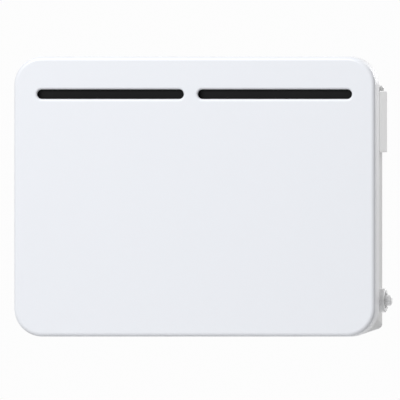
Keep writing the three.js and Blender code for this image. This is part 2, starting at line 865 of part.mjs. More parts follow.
function controlHousing() {
  const ring = (inset, x) => ringAtX(roundedOutline(housingBox(inset), cornerSteps / 2), x);
  const edge = quarterRound(housingEdge, lipSteps / 2);
  const skin = loft([
    ring(housingEdge, housingLeft),
    ring(0, housingLeft + housingEdge),
    ...edge.map(([inset, rise]) => ring(inset, halfWidth - housingEdge + rise)),
  ]);
  const hollow = blockAtDepth(
    [housingLeft + housingWall, halfWidth - housingWall],
    [housingFront + housingWall, housingBack + cutOverrun],
    [housingBottom + housingWall, housingTop - housingWall],
  );
  const bossFoot = housingFront + housingWall / 2;
  const bosses = bossPlaces.map(([x, z]) =>
    rod(bossRadius, coverFront - bossFoot, alongY, placeAt(x, bossFoot, z)),
  );
  const standoffFoot = housingLeft + housingWall / 2;
  const standoffs = housingScrewPlaces.map(([depth, z]) =>
    rod(bossRadius, boardLeft - standoffFoot, alongX, placeAt(standoffFoot, depth, z)),
  );
  const pilotFoot = coverFront - screwLength - cutOverrun;
  const bossPilots = bossPlaces.map(([x, z]) =>
    rod(pilotRadius, screwLength + 2 * cutOverrun, alongY, placeAt(x, pilotFoot, z)),
  );
  const standoffPilots = housingScrewPlaces.map(([depth, z]) =>
    rod(pilotRadius, boardStandoff + cutOverrun, alongX, placeAt(housingLeft - cutOverrun, depth, z)),
  );
  const shaftHole = rod(
    potBushRadius + sheetFit,
    housingWall + 2 * cutOverrun,
    alongZ,
    placeAt(dialPlace, dialDepth, housingTop - housingWall - cutOverrun),
    roundSteps,
  );
  return cut(joined([cut(skin, [hollow]), ...bosses, ...standoffs]), [
    ...bossPilots,
    ...standoffPilots,
    shaftHole,
    controlLeadHole(),
    ...housingVents(),
  ]);
}

// Short slots under the sensor that let room air into the housing.
function housingVents() {
  const width = housingWall;
  return Array.from({ length: ventCount }, (_, i) => {
    const depth = sensorDepth + (i - (ventCount - 1) / 2) * 2 * width;
    const span = [boardRight + housingWall, halfWidth - housingWall - 2 * bossRadius - bossInset / 2];
    return blockAtDepth(
      span,
      [depth - width / 2, depth + width / 2],
      [housingBottom - cutOverrun, housingBottom + housingWall + cutOverrun],
    );
  });
}

function controlCover() {
  const gap = housingWall + sheetFit;
  const box = {
    left: housingLeft + gap,
    right: halfWidth - gap,
    bottom: housingBottom + gap,
    top: housingTop - gap,
    lowRadius: housingEdge,
    highRadius: housingEdge,
  };
  const holes = bossPlaces.map(([x, z]) => circle(x, z, pilotRadius));
  return plateAtDepth(roundedOutline(box, lipSteps), [coverFront, coverFront + coverSheet], holes);
}

const boardBottom = housingBottom + boardInset;
const boardTop = housingTop - boardInset;

const circuitBoard = () =>
  blockAtDepth([boardLeft, boardRight], [boardFront, boardBack], [boardBottom, boardTop]);

function relay() {
  const front = boardFront + relayInset;
  const bottom = boardBottom + relayInset;
  const across = [boardRight, boardRight + relayHeight];
  return blockAtDepth(across, [front, front + relayDepth], [bottom, bottom + relayTall]);
}

function capacitor() {
  const profile = [
    [0, 0],
    [capacitorRadius, 0],
    [capacitorRadius, capacitorLength - capacitorEdge],
    [capacitorRadius - capacitorEdge, capacitorLength],
    [0, capacitorLength],
  ];
  const depth = boardBack - 2 * capacitorRadius;
  return turned(profile, alongX, placeAt(boardRight, depth, boardBottom + capacitorInset), roundSteps / 2);
}

const potTop = housingTop - housingWall - sheetFit;
const potBottom = potTop - potHeight;
const bushTop = housingTop + dialGap;
const shaftBottom = potBottom + potFloor;
const shaftTop = housingTop + dialGap + dialHeight - dialEdge;

function potentiometer() {
  const bore = shaftRadius + runningFit;
  const can = turned(
    [
      [0, potBottom],
      [potRadius, potBottom],
      [potRadius, potTop],
      [potBushRadius, potTop],
      [potBushRadius, bushTop],
      [bore, bushTop],
      [bore, shaftBottom - runningFit],
      [0, shaftBottom - runningFit],
    ],
    alongZ,
    placeAt(dialPlace, dialDepth, 0),
    roundSteps,
  );
  const foot = blockAtDepth(
    [boardRight, dialPlace - potRadius / 2],
    [dialDepth - potRadius / 2, dialDepth + potRadius / 2],
    [potBottom, potBottom + potFloor - runningFit],
  );
  return can.add(foot);
}

const dialShaft = () =>
  rod(shaftRadius, shaftTop - shaftBottom, alongZ, placeAt(dialPlace, dialDepth, shaftBottom), roundSteps);

// The dial: a turned cap with flutes round its side, a pointer notch on top and a blind bore for the shaft.
function temperatureDial() {
  const bottom = housingTop + dialGap + runningFit;
  const top = bottom + dialHeight;
  const profile = [[0, bottom], [dialRadius - dialEdge / 4, bottom], [dialRadius, bottom + dialEdge / 4]];
  const edge = quarterRound(dialEdge, lipSteps);
  profile.push(...edge.map(([inset, rise]) => [dialRadius - inset, top - dialEdge + rise]), [0, top]);
  const cap = turned(profile, alongZ, placeAt(dialPlace, dialDepth, 0), 2 * dialFlutes);
  const flutes = Array.from({ length: dialFlutes }, (_, i) => {
    const angle = ((i + 0.5) / dialFlutes) * 2 * Math.PI;
    const reach = dialRadius + dialFluteRadius / 2;
    const place = placeAt(dialPlace, dialDepth, bottom - cutOverrun);
    place.x += reach * Math.cos(angle);
    place.y += reach * Math.sin(angle);
    return rod(dialFluteRadius, dialHeight, alongZ, place, springSides);
  });
  const below = placeAt(dialPlace, dialDepth, bottom - cutOverrun);
  const boreLength = shaftTop - bottom + runningFit + cutOverrun;
  const bore = rod(shaftRadius + runningFit, boreLength, alongZ, below, roundSteps);
  const counterbore = rod(potBushRadius + dialGap, dialGap + cutOverrun, alongZ, below, roundSteps);
  const notch = blockAtDepth(
    [dialPlace - dialNotchWidth / 2, dialPlace + dialNotchWidth / 2],
    [dialDepth - dialRadius, dialDepth - dialRadius / 4],
    [top - dialNotchDepth, top + cutOverrun],
  );
  return cut(cap, [...flutes, bore, counterbore, notch]);
}

// The bead that feels the room air, on a leg from the board.
function roomSensor() {
  const beadFoot = housingBottom + housingWall + sensorRadius;
  const length = boardBottom + 2 * sensorLeg - beadFoot;
  const tip = quarterRound(sensorRadius, lipSteps).reverse();
  const profile = [
    ...tip.map(([inset, rise]) => [sensorRadius - inset, sensorRadius - rise]),
    [sensorRadius, length],
    [0, length],
  ];
  const bead = turned(profile, alongZ, placeAt(boardRight + sensorStand, sensorDepth, beadFoot));
  const leg = blockAtDepth(
    [boardRight, boardRight + sensorStand],
    [sensorDepth - sensorLeg / 2, sensorDepth + sensorLeg / 2],
    [boardBottom + sensorLeg / 2, boardBottom + (3 * sensorLeg) / 2],
  );
  return bead.add(leg);
}

const switchAxis = (x) => placeAt(x, switchDepth, switchHeight);
const collarFace = casingRight + collarLength;
const noseFace = casingRight + collarFloor;
const buttonEnd = collarFace + buttonStand;
const buttonFoot = buttonEnd - buttonCapLength;

function switchCollar() {
  const bore = noseRadius + noseThread;
  const edge = quarterRound(collarEdge, lipSteps / 2);
  const profile = [
    [bore, 0],
    [collarRadius, 0],
    ...edge.map(([inset, rise]) => [collarRadius - inset, collarLength - collarEdge + rise]),
    [collarBoreRadius + collarEdge / 2, collarLength],
    [collarBoreRadius, collarLength - collarEdge / 2],
    [collarBoreRadius, collarFloor],
    [bore, collarFloor],
    [bore, 0],
  ];
  return turned(profile, alongX, switchAxis(casingRight), collarSteps);
}

// The switch body behind the casing's side, whose nose passes through the wall into the collar.
function switchBody() {
  const shoulder = casingRight - casingSheet - sheetFit;
  const body = blockAtDepth(
    [shoulder - switchBodyLength, shoulder],
    [switchDepth - switchBodyWidth / 2, switchDepth + switchBodyWidth / 2],
    [switchHeight - switchBodyTall / 2, switchHeight + switchBodyTall / 2],
  );
  const noseFoot = shoulder - cutOverrun;
  const nose = rod(noseRadius, noseFace - noseFoot, alongX, switchAxis(noseFoot), roundSteps);
  const boreEnd = buttonFoot - stemLength - buttonTravel - runningFit;
  const boreLength = noseFace - boreEnd + cutOverrun;
  const bore = rod(stemRadius + runningFit, boreLength, alongX, switchAxis(boreEnd), roundSteps);
  return body.add(nose).subtract(bore);
}

function powerButton() {
  const edge = quarterRound(buttonEdge, lipSteps);
  const profile = [
    [0, -stemLength],
    [stemRadius, -stemLength],
    [stemRadius, 0],
    [buttonRadius, 0],
    ...edge.map(([inset, rise]) => [buttonRadius - inset, buttonCapLength - buttonEdge + rise]),
    [0, buttonCapLength],
  ];
  return turned(profile, alongX, switchAxis(buttonFoot), roundSteps);
}

// The return spring round the button's stem, between the nose and the cap.
function buttonSpring() {
  const from = noseFace + springWire + runningFit;
  const to = buttonFoot - springWire - runningFit;
  const axis = switchAxis(from);
  class Coil extends THREE.Curve {
    getPoint(t, target = new THREE.Vector3()) {
      const angle = t * springTurns * 2 * Math.PI;
      return target.set(
        axis.x + (to - from) * t,
        axis.y + springRadius * Math.cos(angle),
        axis.z + springRadius * Math.sin(angle),
      );
    }
  }
  const wire = circle(0, 0, springWire, springSides).map(([u, v]) => new THREE.Vector2(u, v));
  const section = new THREE.Shape(wire);
  const geometry = new THREE.ExtrudeGeometry(section, {
    steps: springTurns * springSteps,
    extrudePath: new Coil(),
    bevelEnabled: false,
  });
  return solid(geometry);
}

const cutoutPlace = shieldHalfWidth / 3;
const cutoutLevel = elementHeight + cutoutRise;

// A bimetal cut-out held flat on the front of the heat shield by its two ears.
function thermalCutout() {
  const profile = [
    [0, 0],
    [cutoutRadius, 0],
    [cutoutRadius, cutoutHeight],
    [cutoutCapRadius, cutoutHeight],
    [cutoutCapRadius, cutoutHeight + cutoutCapHeight],
    [0, cutoutHeight + cutoutCapHeight],
  ];
  const disc = turned(profile, againstY, placeAt(cutoutPlace, shieldDepth, cutoutLevel), roundSteps);
  const ears = blockAtDepth(
    [cutoutPlace - cutoutEarReach, cutoutPlace + cutoutEarReach],
    [shieldDepth - cutoutEarSheet, shieldDepth],
    [cutoutLevel - cutoutEarWidth / 2, cutoutLevel + cutoutEarWidth / 2],
  );
  return disc.add(ears);
}

const terminalLeft = carrierPlace + 2 * carrierSheet;
const terminalRight = terminalLeft + terminalWidth;
const terminalHeight = elementHeight + terminalRise;
const terminalBoreDepth = casingInnerBack - terminalThickness / 3;
const terminalWayHeights = Array.from(
  { length: terminalWays },
  (_, i) => terminalHeight + (i - (terminalWays - 1) / 2) * terminalPitch,
);

// The terminal block on the casing's back, with a wire bore and two screw wells for each way.
function terminalBlock() {
  const tall = terminalWays * terminalPitch;
  const front = casingInnerBack - terminalThickness;
  const body = blockAtDepth(
    [terminalLeft, terminalRight],
    [front, casingInnerBack],
    [terminalHeight - tall / 2, terminalHeight + tall / 2],
  );
  const bores = terminalWayHeights.map((way) =>
    rod(
      terminalBoreRadius,
      terminalWidth + 2 * cutOverrun,
      alongX,
      placeAt(terminalLeft - cutOverrun, terminalBoreDepth, way),
    ),
  );
  const wellLength = terminalThickness / 3 + cutOverrun;
  const wells = terminalWayHeights.flatMap((way) =>
    [terminalLeft + terminalWidth / 4, terminalRight - terminalWidth / 4].map((wellX) =>
      rod(terminalScrewRadius, wellLength, alongY, placeAt(wellX, front - cutOverrun, way)),
    ),
  );
  return cut(body, [...bores, ...wells]);
}

// The cord's way in: a rubber ring in the casing's sloping bottom.
const bottomSlope = Math.atan2(casingBottomInsetBack - casingBottomInsetFront, casingBack - rimBack);
const grommetAxis = new THREE.Vector3(0, -Math.sin(bottomSlope), Math.cos(bottomSlope));
const grommetPlace = () => placeAt(halfWidth - grommetInset, grommetDepth, casingBox(grommetDepth, 0).bottom);

function grommetHole() {
  const place = grommetPlace().addScaledVector(grommetAxis, -cutOverrun);
  return rod(grommetNeck + sheetFit, casingSheet + 2 * cutOverrun, grommetAxis, place, roundSteps);
}

function cableGrommet() {
  const groove = casingSheet + sheetFit;
  const profile = [
    [grommetBore, -grommetLip - sheetFit],
    [grommetFlange - grommetLip / 2, -grommetLip - sheetFit],
    [grommetFlange, -sheetFit],
    [grommetNeck, -sheetFit],
    [grommetNeck, groove],
    [grommetFlange, groove],
    [grommetFlange - grommetLip / 2, groove + grommetLip],
    [grommetBore, groove + grommetLip],
    [grommetBore, -grommetLip - sheetFit],
  ];
  return turned(profile, grommetAxis, grommetPlace(), roundSteps);
}

// A sheathed lead bent through points of X, depth and Z.
function lead(points) {
  const places = points.map(([x, depth, z]) => placeAt(x, depth, z));
  const route = new THREE.CatmullRomCurve3(places, false, 'centripetal');
  const ring = circle(0, 0, leadRadius, leadSides).map(([u, v]) => new THREE.Vector2(u, v));
  const steps = Math.ceil(route.getLength() / leadStride);
  return solid(
    new THREE.ExtrudeGeometry(new THREE.Shape(ring), { steps, extrudePath: route, bevelEnabled: false }),
  );
}

const [lowWay, middleWay, highWay] = terminalWayHeights;
const sheathEnd = sheathLength / 2 + sheetFit;
const leadFront = shieldDepth - cutoutHeight + leadRadius + sheetFit;

// The end of a lead that comes to a terminal from beyond the heat shield's foot.
const terminalApproach = (way) => [
  [terminalLeft - 2 * leadBend, terminalBoreDepth - leadBend, way],
  [terminalLeft - leadBend, terminalBoreDepth, way],
  [terminalLeft - sheetFit, terminalBoreDepth, way],
];

// From the element's right end over the carrier to the lowest terminal.
const elementLeadRight = () =>
  lead([
    [sheathEnd, elementDepth, elementHeight],
    [sheathEnd + leadRadius, elementDepth, elementHeight],
    [sheathEnd + 2 * leadBend, elementDepth + leadRadius, elementHeight + leadBend],
    [sheathEnd + leadBend, elementDepth + leadBend, elementHeight + leadSweep],
    [terminalLeft + leadBend, elementDepth + 2 * leadBend, lowWay - leadSweep],
    [terminalLeft - leadBend, terminalBoreDepth - 3 * leadBend, lowWay - 2 * leadBend],
    ...terminalApproach(lowWay),
  ]);

// From the element's left end up and along the heat shield to the cut-out.
const elementLeadLeft = () =>
  lead([
    [-sheathEnd, elementDepth, elementHeight],
    [-sheathEnd - leadRadius, elementDepth, elementHeight],
    [-sheathEnd - 2 * leadBend, elementDepth + leadRadius, elementHeight + leadBend],
    [-sheathEnd - leadBend, leadFront, elementHeight + 2 * leadSweep],
    [-shieldHalfWidth - leadSweep, leadFront, cutoutLevel - leadSweep],
    [-shieldHalfWidth + leadSweep, leadFront, cutoutLevel],
    [cutoutPlace - cutoutRadius - leadSweep, leadFront, cutoutLevel],
    [cutoutPlace - cutoutRadius - sheetFit, leadFront, cutoutLevel],
  ]);

// From the cut-out along the heat shield to the middle terminal.
const cutoutLead = () =>
  lead([
    [cutoutPlace + cutoutRadius + sheetFit, leadFront, cutoutLevel],
    [cutoutPlace + cutoutRadius + leadSweep, leadFront, cutoutLevel],
    [shieldHalfWidth - leadSweep, leadFront, cutoutLevel],
    [shieldHalfWidth + leadBend, leadFront, middleWay + leadSweep],
    [terminalLeft - 2 * leadBend, terminalBoreDepth - 2 * leadBend, middleWay + leadBend],
    ...terminalApproach(middleWay),
  ]);

// From the middle terminal down to the switch.
const switchLead = () =>
  lead([
    [terminalRight + sheetFit, terminalBoreDepth, middleWay],
    [terminalRight + leadRadius, terminalBoreDepth, middleWay],
    [terminalRight + leadBend, terminalBoreDepth - leadBend, middleWay - leadBend],
    [terminalRight, terminalBoreDepth - leadSweep, lowWay - leadSweep],
    [terminalRight - leadBend, switchDepth, switchHeight + switchBodyTall / 2 + leadSweep],
    [terminalRight - leadBend, switchDepth, switchHeight + switchBodyTall / 2 + sheetFit],
  ]);

const controlLeadPlace = () => placeAt(terminalRight + leadRadius, terminalBoreDepth, pocketFloor);

// From the highest terminal up through the pocket's floor to the circuit board.
const controlLead = () =>
  lead([
    [terminalRight + sheetFit, terminalBoreDepth, highWay],
    [terminalRight + leadRadius, terminalBoreDepth, highWay],
    [terminalRight + leadBend, terminalBoreDepth, highWay + 2 * leadBend],
    [terminalRight + leadRadius, terminalBoreDepth, pocketFloor - leadSweep],
    [terminalRight + leadRadius, terminalBoreDepth, housingBottom + housingWall],
    [terminalRight, terminalBoreDepth, boardBottom],
    [boardRight + leadBend, terminalBoreDepth, boardBottom + leadBend],
    [boardRight + sheetFit, terminalBoreDepth, boardBottom + leadBend],
  ]);

// The hole for the control lead through the pocket's floor and the housing's bottom.
function controlLeadHole() {
  const place = controlLeadPlace();
  place.z -= cutOverrun;
  const length = housingBottom + housingWall - pocketFloor + 2 * cutOverrun;
  return rod(leadRadius + leadFit, length, alongZ, place);
}

function wallBuffer(side) {
  const thickness = wallDistance - casingBack;
  const profile = [
    [0, 0],
    [bufferRadius, 0],
    [bufferRadius, thickness - bufferDome],
    [bufferRadius - bufferDome, thickness],
    [0, thickness],
  ];
  const place = placeAt(side * (shieldHalfWidth + shieldFoot + bufferRadius), casingBack, shieldBottom);
  return turned(profile, alongY, place, roundSteps);
}

// One hook: a tongue bent forward out of the plate, then up.
function bracketHook([x, z]) {
  const half = hookWidth / 2;
  const front = -bracketSheet - hookReach;
  const neck = block([x - half, x + half], [front, -bracketSheet / 2], [z, z + bracketSheet]);
  const tip = block([x - half, x + half], [front, front + bracketSheet], [z, z + hookHeight]);
  return neck.add(tip);
}

// A keyhole: a round opening for the screw's head with a narrow slot above it.
function keyhole(x, z) {
  const through = [wallDistance - bracketSheet - cutOverrun, wallDistance + cutOverrun];
  const opening = plateAtDepth(circle(x, z, keyholeHeadRadius, roundSteps), through);
  const slot = plateAtDepth(
    roundedOutline({
      left: x - keyholeShankRadius,
      right: x + keyholeShankRadius,
      bottom: z - keyholeShankRadius,
      top: z + keyholeRise,
      lowRadius: keyholeShankRadius,
      highRadius: keyholeShankRadius,
    }, lipSteps),
    through,
  );
  return opening.add(slot);
}

// A pressed plate with a middle rail, two windows, four hooks and four keyholes.
function wallBracket() {
  const through = [wallDistance - bracketSheet - cutOverrun, wallDistance + cutOverrun];
  const outline = roundedOutline(roundedBox(bracketWidth, bracketHeight, bracketCornerRadius), lipSteps);
  const plate = plateAtDepth(outline, [wallDistance - bracketSheet, wallDistance]);
  const windows = [-1, 1].map((row) => {
    const near = bracketRail / 2;
    const far = bracketHeight / 2 - bracketRail;
    return plateAtDepth(
      roundedOutline({
        left: bracketLeg - bracketWidth / 2,
        right: bracketWidth / 2 - bracketLeg,
        bottom: row > 0 ? near : -far,
        top: row > 0 ? far : -near,
        lowRadius: bracketCornerRadius / 2,
        highRadius: bracketCornerRadius / 2,
      }, lipSteps),
      through,
    );
  });
  const tongueWindows = hookPlaces.map(([x, z]) => {
    const half = hookWidth / 2 + sheetFit;
    const low = z + bracketSheet;
    return blockAtDepth([x - half, x + half], through, [low, low + hookWindowHeight]);
  });
  const keyholes = [-1, 1].flatMap((side) =>
    [-1, 1].map((row) => {
      const z = row * (bracketHeight - bracketRail) / 2 - keyholeRise / 4;
      return keyhole((side * keyholeSpacing) / 2, z);
    }),
  );
  return joined([cut(plate, [...windows, ...tongueWindows, ...keyholes]), ...hookPlaces.map(bracketHook)]);
}

addPiece('wall_bracket', wallBracket(), zinc, 0.4, 0.8);

addPiece('front_panel', frontPanel(), whitePaint, 0.35);
addPiece('rim_frame', rimFrame(), whitePaint, 0.35);
addPiece('rear_casing', rearCasing(), whitePaint, 0.4);
addPiece('air_guide', airGuide(), blackPaint, 0.7);
addPiece('heat_shield', heatShield(), zinc, 0.35, 0.9);
addPiece('heating_element', heatingElement(), aluminium, 0.4, 0.9);
addPiece('element_sheath', elementSheath(), zinc, 0.35, 0.9);
addPiece('thermal_cutout', thermalCutout(), blackPlastic, 0.5);
addPiece('terminal_block', terminalBlock(), ceramic, 0.6);
addPiece('cable_grommet', cableGrommet(), blackRubber, 0.8);
addPiece('element_lead_left', elementLeadLeft(), leadWhite, 0.7);
addPiece('element_lead_right', elementLeadRight(), leadWhite, 0.7);
addPiece('cutout_lead', cutoutLead(), leadWhite, 0.7);
addPiece('switch_lead', switchLead(), leadWhite, 0.7);
addPiece('control_lead', controlLead(), leadWhite, 0.7);

for (const [word, side] of [['left', -1], ['right', 1]]) {
  addPiece(`element_carrier_${word}`, elementCarrier(side), zinc, 0.4, 0.8);
  addPiece(`element_bush_${word}`, elementBush(side), ceramic, 0.5);
  addPiece(`wall_buffer_${word}`, wallBuffer(side), blackRubber, 0.8);
}

frameScrewPlaces.forEach(([x, z], i) => {
  addPiece(`frame_screw_${i + 1}`, screw(placeAt(x, rimBack - rimSheet, z), alongY), zinc, 0.35, 0.9);
});
studPlaces.forEach((place, i) => {
  addPiece(`panel_stud_${i + 1}`, panelStud(place), zinc, 0.35, 0.9);
  addPiece(`stud_clip_${i + 1}`, studClip(place), whitePlastic, 0.5);
});
shieldScrewPlaces.forEach(([x, z], i) => {
  const made = screw(placeAt(x, casingInnerBack - shieldSheet, z), alongY, shieldSheet + casingSheet);
  addPiece(`shield_screw_${i + 1}`, made, zinc, 0.35, 0.9);
});

addPiece('control_housing', controlHousing(), whitePlastic, 0.5);
addPiece('control_cover', controlCover(), whitePlastic, 0.5);
addPiece('circuit_board', circuitBoard(), boardGreen, 0.5);
addPiece('relay', relay(), blackPlastic, 0.5);
addPiece('capacitor', capacitor(), blackPlastic, 0.4);
addPiece('potentiometer', potentiometer(), zinc, 0.4, 0.8);
addPiece('room_sensor', roomSensor(), blackPlastic, 0.4);
bossPlaces.forEach(([x, z], i) => {
  const made = screw(placeAt(x, coverFront + coverSheet, z), againstY, coverSheet + screwLength);
  addPiece(`cover_screw_${i + 1}`, made, zinc, 0.35, 0.9);
});
housingScrewPlaces.forEach(([depth, z], i) => {
  const made = screw(placeAt(pocketInner, depth, z), alongX, casingSheet + housingWall + screwLength / 2);
  addPiece(`housing_screw_${i + 1}`, made, zinc, 0.35, 0.9);
});

addPiece('temperature_dial', temperatureDial(), whitePlastic, 0.45);
addPiece('dial_shaft', dialShaft(), zinc, 0.35, 0.9);

addPiece('switch_collar', switchCollar(), whitePlastic, 0.45);
addPiece('switch_body', switchBody(), blackPlastic, 0.5);
addPiece('power_button', powerButton(), whitePlastic, 0.4);
addPiece('button_spring', buttonSpring(), zinc, 0.35, 0.9);

export default heater;
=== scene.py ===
"""A wall-mounted electric panel heater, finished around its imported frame.

Pieces are drawn in millimetres, with depths counted back from the panel's face, and made in metres.
"""

import math

import bmesh
import bpy
from mathutils import Matrix, Vector


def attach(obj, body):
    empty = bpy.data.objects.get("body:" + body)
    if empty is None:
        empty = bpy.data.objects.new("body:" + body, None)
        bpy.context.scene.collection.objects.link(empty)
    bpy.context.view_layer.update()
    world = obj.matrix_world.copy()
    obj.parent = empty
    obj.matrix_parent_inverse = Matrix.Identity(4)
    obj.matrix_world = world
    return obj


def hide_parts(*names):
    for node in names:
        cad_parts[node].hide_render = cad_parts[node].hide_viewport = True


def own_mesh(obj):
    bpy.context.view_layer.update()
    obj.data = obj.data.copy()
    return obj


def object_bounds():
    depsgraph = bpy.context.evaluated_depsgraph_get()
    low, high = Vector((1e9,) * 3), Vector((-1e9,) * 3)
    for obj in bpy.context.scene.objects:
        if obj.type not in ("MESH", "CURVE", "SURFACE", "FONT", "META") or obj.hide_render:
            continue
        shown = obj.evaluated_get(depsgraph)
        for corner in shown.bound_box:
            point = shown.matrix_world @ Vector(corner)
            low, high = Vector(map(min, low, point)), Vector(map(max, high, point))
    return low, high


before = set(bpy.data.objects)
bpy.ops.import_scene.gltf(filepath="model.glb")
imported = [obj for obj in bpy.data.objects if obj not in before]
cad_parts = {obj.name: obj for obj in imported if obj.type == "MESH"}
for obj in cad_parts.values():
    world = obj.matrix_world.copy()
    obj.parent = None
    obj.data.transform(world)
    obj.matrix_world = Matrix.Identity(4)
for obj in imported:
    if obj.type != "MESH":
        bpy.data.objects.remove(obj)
cad_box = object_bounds()
scene = bpy.context.scene

# Wall bracket: a pressed plate of galvanised steel, held to the wall by four screws in its keyholes.
# Its four hooks are tongues cut free of the plate and bent forward, and the heater's back drops over them.
# Zinc leaves dull, pale, cloudy crystals that differ a little in shade and sheen.

millimetre = 0.001
sliver = 0.002
wall_distance = 87
bracket_sheet = 1.5
bracket_width = 290
bracket_height = 250
bracket_corner = 14
bracket_rail = 30
bracket_leg = 34
hook_spacing = 256
hook_pitch = 180
hook_width = 16
hook_reach = 6.6
hook_height = 10
hook_bend = 2.2
tongue_window = 20
sheet_fit = 0.3
keyhole_spacing = 150
keyhole_head = 5
keyhole_shank = 2.4
keyhole_rise = 12

# A drawing becomes solid face on to the wall, end on to the heater's side, or standing up.
face_on = Matrix(((1, 0, 0, 0), (0, 0, 1, -wall_distance), (0, 1, 0, 0), (0, 0, 0, 1)))
end_on = Matrix(((0, 0, 1, 0), (1, 0, 0, -wall_distance), (0, 1, 0, 0), (0, 0, 0, 1)))
upright = Matrix(((1, 0, 0, 0), (0, 1, 0, -wall_distance), (0, 0, 1, 0), (0, 0, 0, 1)))


def arc(u, v, radius, start, end, steps):
    """Points round part of a circle, between two angles in degrees."""
    angles = [math.radians(start + (end - start) * i / steps) for i in range(steps + 1)]
    return [(u + radius * math.cos(a), v + radius * math.sin(a)) for a in angles]


def circle(u, v, radius, steps=48):
    return arc(u, v, radius, 0, 360, steps)[:-1]


def rounded(left, right, bottom, top, radius, steps=8):
    """A rounded rectangle, anticlockwise from its lower right corner."""
    corners = [(right - radius, bottom + radius, -90), (right - radius, top - radius, 0),
               (left + radius, top - radius, 90), (left + radius, bottom + radius, 180)]
    return [point for u, v, start in corners for point in arc(u, v, radius, start, start + 90, steps)]


def centred(u, v, wide, tall, radius, steps=8):
    """A rounded rectangle about its middle, from half its width and half its height."""
    return rounded(u - wide, u + wide, v - tall, v + tall, radius, steps)


def eased(corners, steps=5):
    """An outline of (u, v, radius) corners, each rounded by its own radius."""
    points = []
    for i, (u, v, radius) in enumerate(corners):
        here = Vector((u, v))
        if not radius:
            points.append((u, v))
            continue
        before = (Vector(corners[i - 1][:2]) - here).normalized()
        after = (Vector(corners[(i + 1) % len(corners)][:2]) - here).normalized()
        half = before.angle(after) / 2
        centre = here + (before + after).normalized() * radius / math.sin(half)
        first = here + before * radius / math.tan(half) - centre
        last = here + after * radius / math.tan(half) - centre
        start = math.degrees(math.atan2(first.y, first.x))
        turn = (math.degrees(math.atan2(last.y, last.x)) - start + 180) % 360 - 180
        points += arc(centre.x, centre.y, radius, start, start + turn, steps)
    return points


def plate(loops, low, high, turn):
    """A flat or extruded piece between two levels, from an outline and its holes."""
    made = bmesh.new()
    edges = []
    for loop in loops:
        corners = [made.verts.new((u, v, low)) for u, v in loop]
        edges += [made.edges.new(pair) for pair in zip(corners, corners[1:] + corners[:1])]
    filled = bmesh.ops.triangle_fill(made, edges=edges, use_beauty=True)
    faces = [part for part in filled["geom"] if isinstance(part, bmesh.types.BMFace)]
    raised = bmesh.ops.extrude_face_region(made, geom=faces)
    tops = [part for part in raised["geom"] if isinstance(part, bmesh.types.BMVert)]
    bmesh.ops.translate(made, vec=(0, 0, high - low), verts=tops)
    bmesh.ops.transform(made, matrix=turn, verts=made.verts)
    bmesh.ops.recalc_face_normals(made, faces=made.faces)
    return made


def combined(made, others, operation):
    """Joins closed drawings to another or cuts them out of it."""
    holders = []
    for drawn in [made] + others:
        mesh = bpy.data.meshes.new("drawn")
        drawn.to_mesh(mesh)
        drawn.free()
        holders.append(bpy.data.objects.new("drawn", mesh))
    tools = bpy.data.collections.new("tools")
    scene.collection.children.link(tools)
    for holder in holders[1:]:
        tools.objects.link(holder)
    scene.collection.objects.link(holders[0])
    work = holders[0].modifiers.new("work", "BOOLEAN")
    work.operation = operation
    work.operand_type = "COLLECTION"
    work.collection = tools
    work.solver = "EXACT"
    result = bmesh.new()
    result.from_object(holders[0], bpy.context.evaluated_depsgraph_get())
    bmesh.ops.dissolve_degenerate(result, edges=result.edges, dist=sliver)
    for holder in holders:
        bpy.data.meshes.remove(holder.data)
    bpy.data.collections.remove(tools)
    return result


def welded(parts):
    return combined(parts[0], parts[1:], "UNION")


def cut_out(made, cutters):
    return combined(made, cutters, "DIFFERENCE")


def add_piece(name, made, coat, nodes, body="heater", edge=0, sharp=32):
    """Makes a drawn piece real, breaks its sharp edges where asked and lets it stand for its nodes."""
    mesh = bpy.data.meshes.new(name)
    made.to_mesh(mesh)
    made.free()
    mesh.transform(Matrix.Scale(millimetre, 4))
    mesh.materials.append(coat)
    mesh.shade_smooth()
    mesh.set_sharp_from_angle(angle=math.radians(sharp))
    piece = bpy.data.objects.new(name, mesh)
    scene.collection.objects.link(piece)
    if edge:
        broken = piece.modifiers.new("broken_edges", "BEVEL")
        broken.width = edge * millimetre
        broken.segments = 2
        broken.limit_method = "ANGLE"
        broken.angle_limit = math.radians(sharp)
    even = piece.modifiers.new("even_shading", "WEIGHTED_NORMAL")
    even.keep_sharp = True
    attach(piece, body)
    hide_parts(*nodes)
    return piece


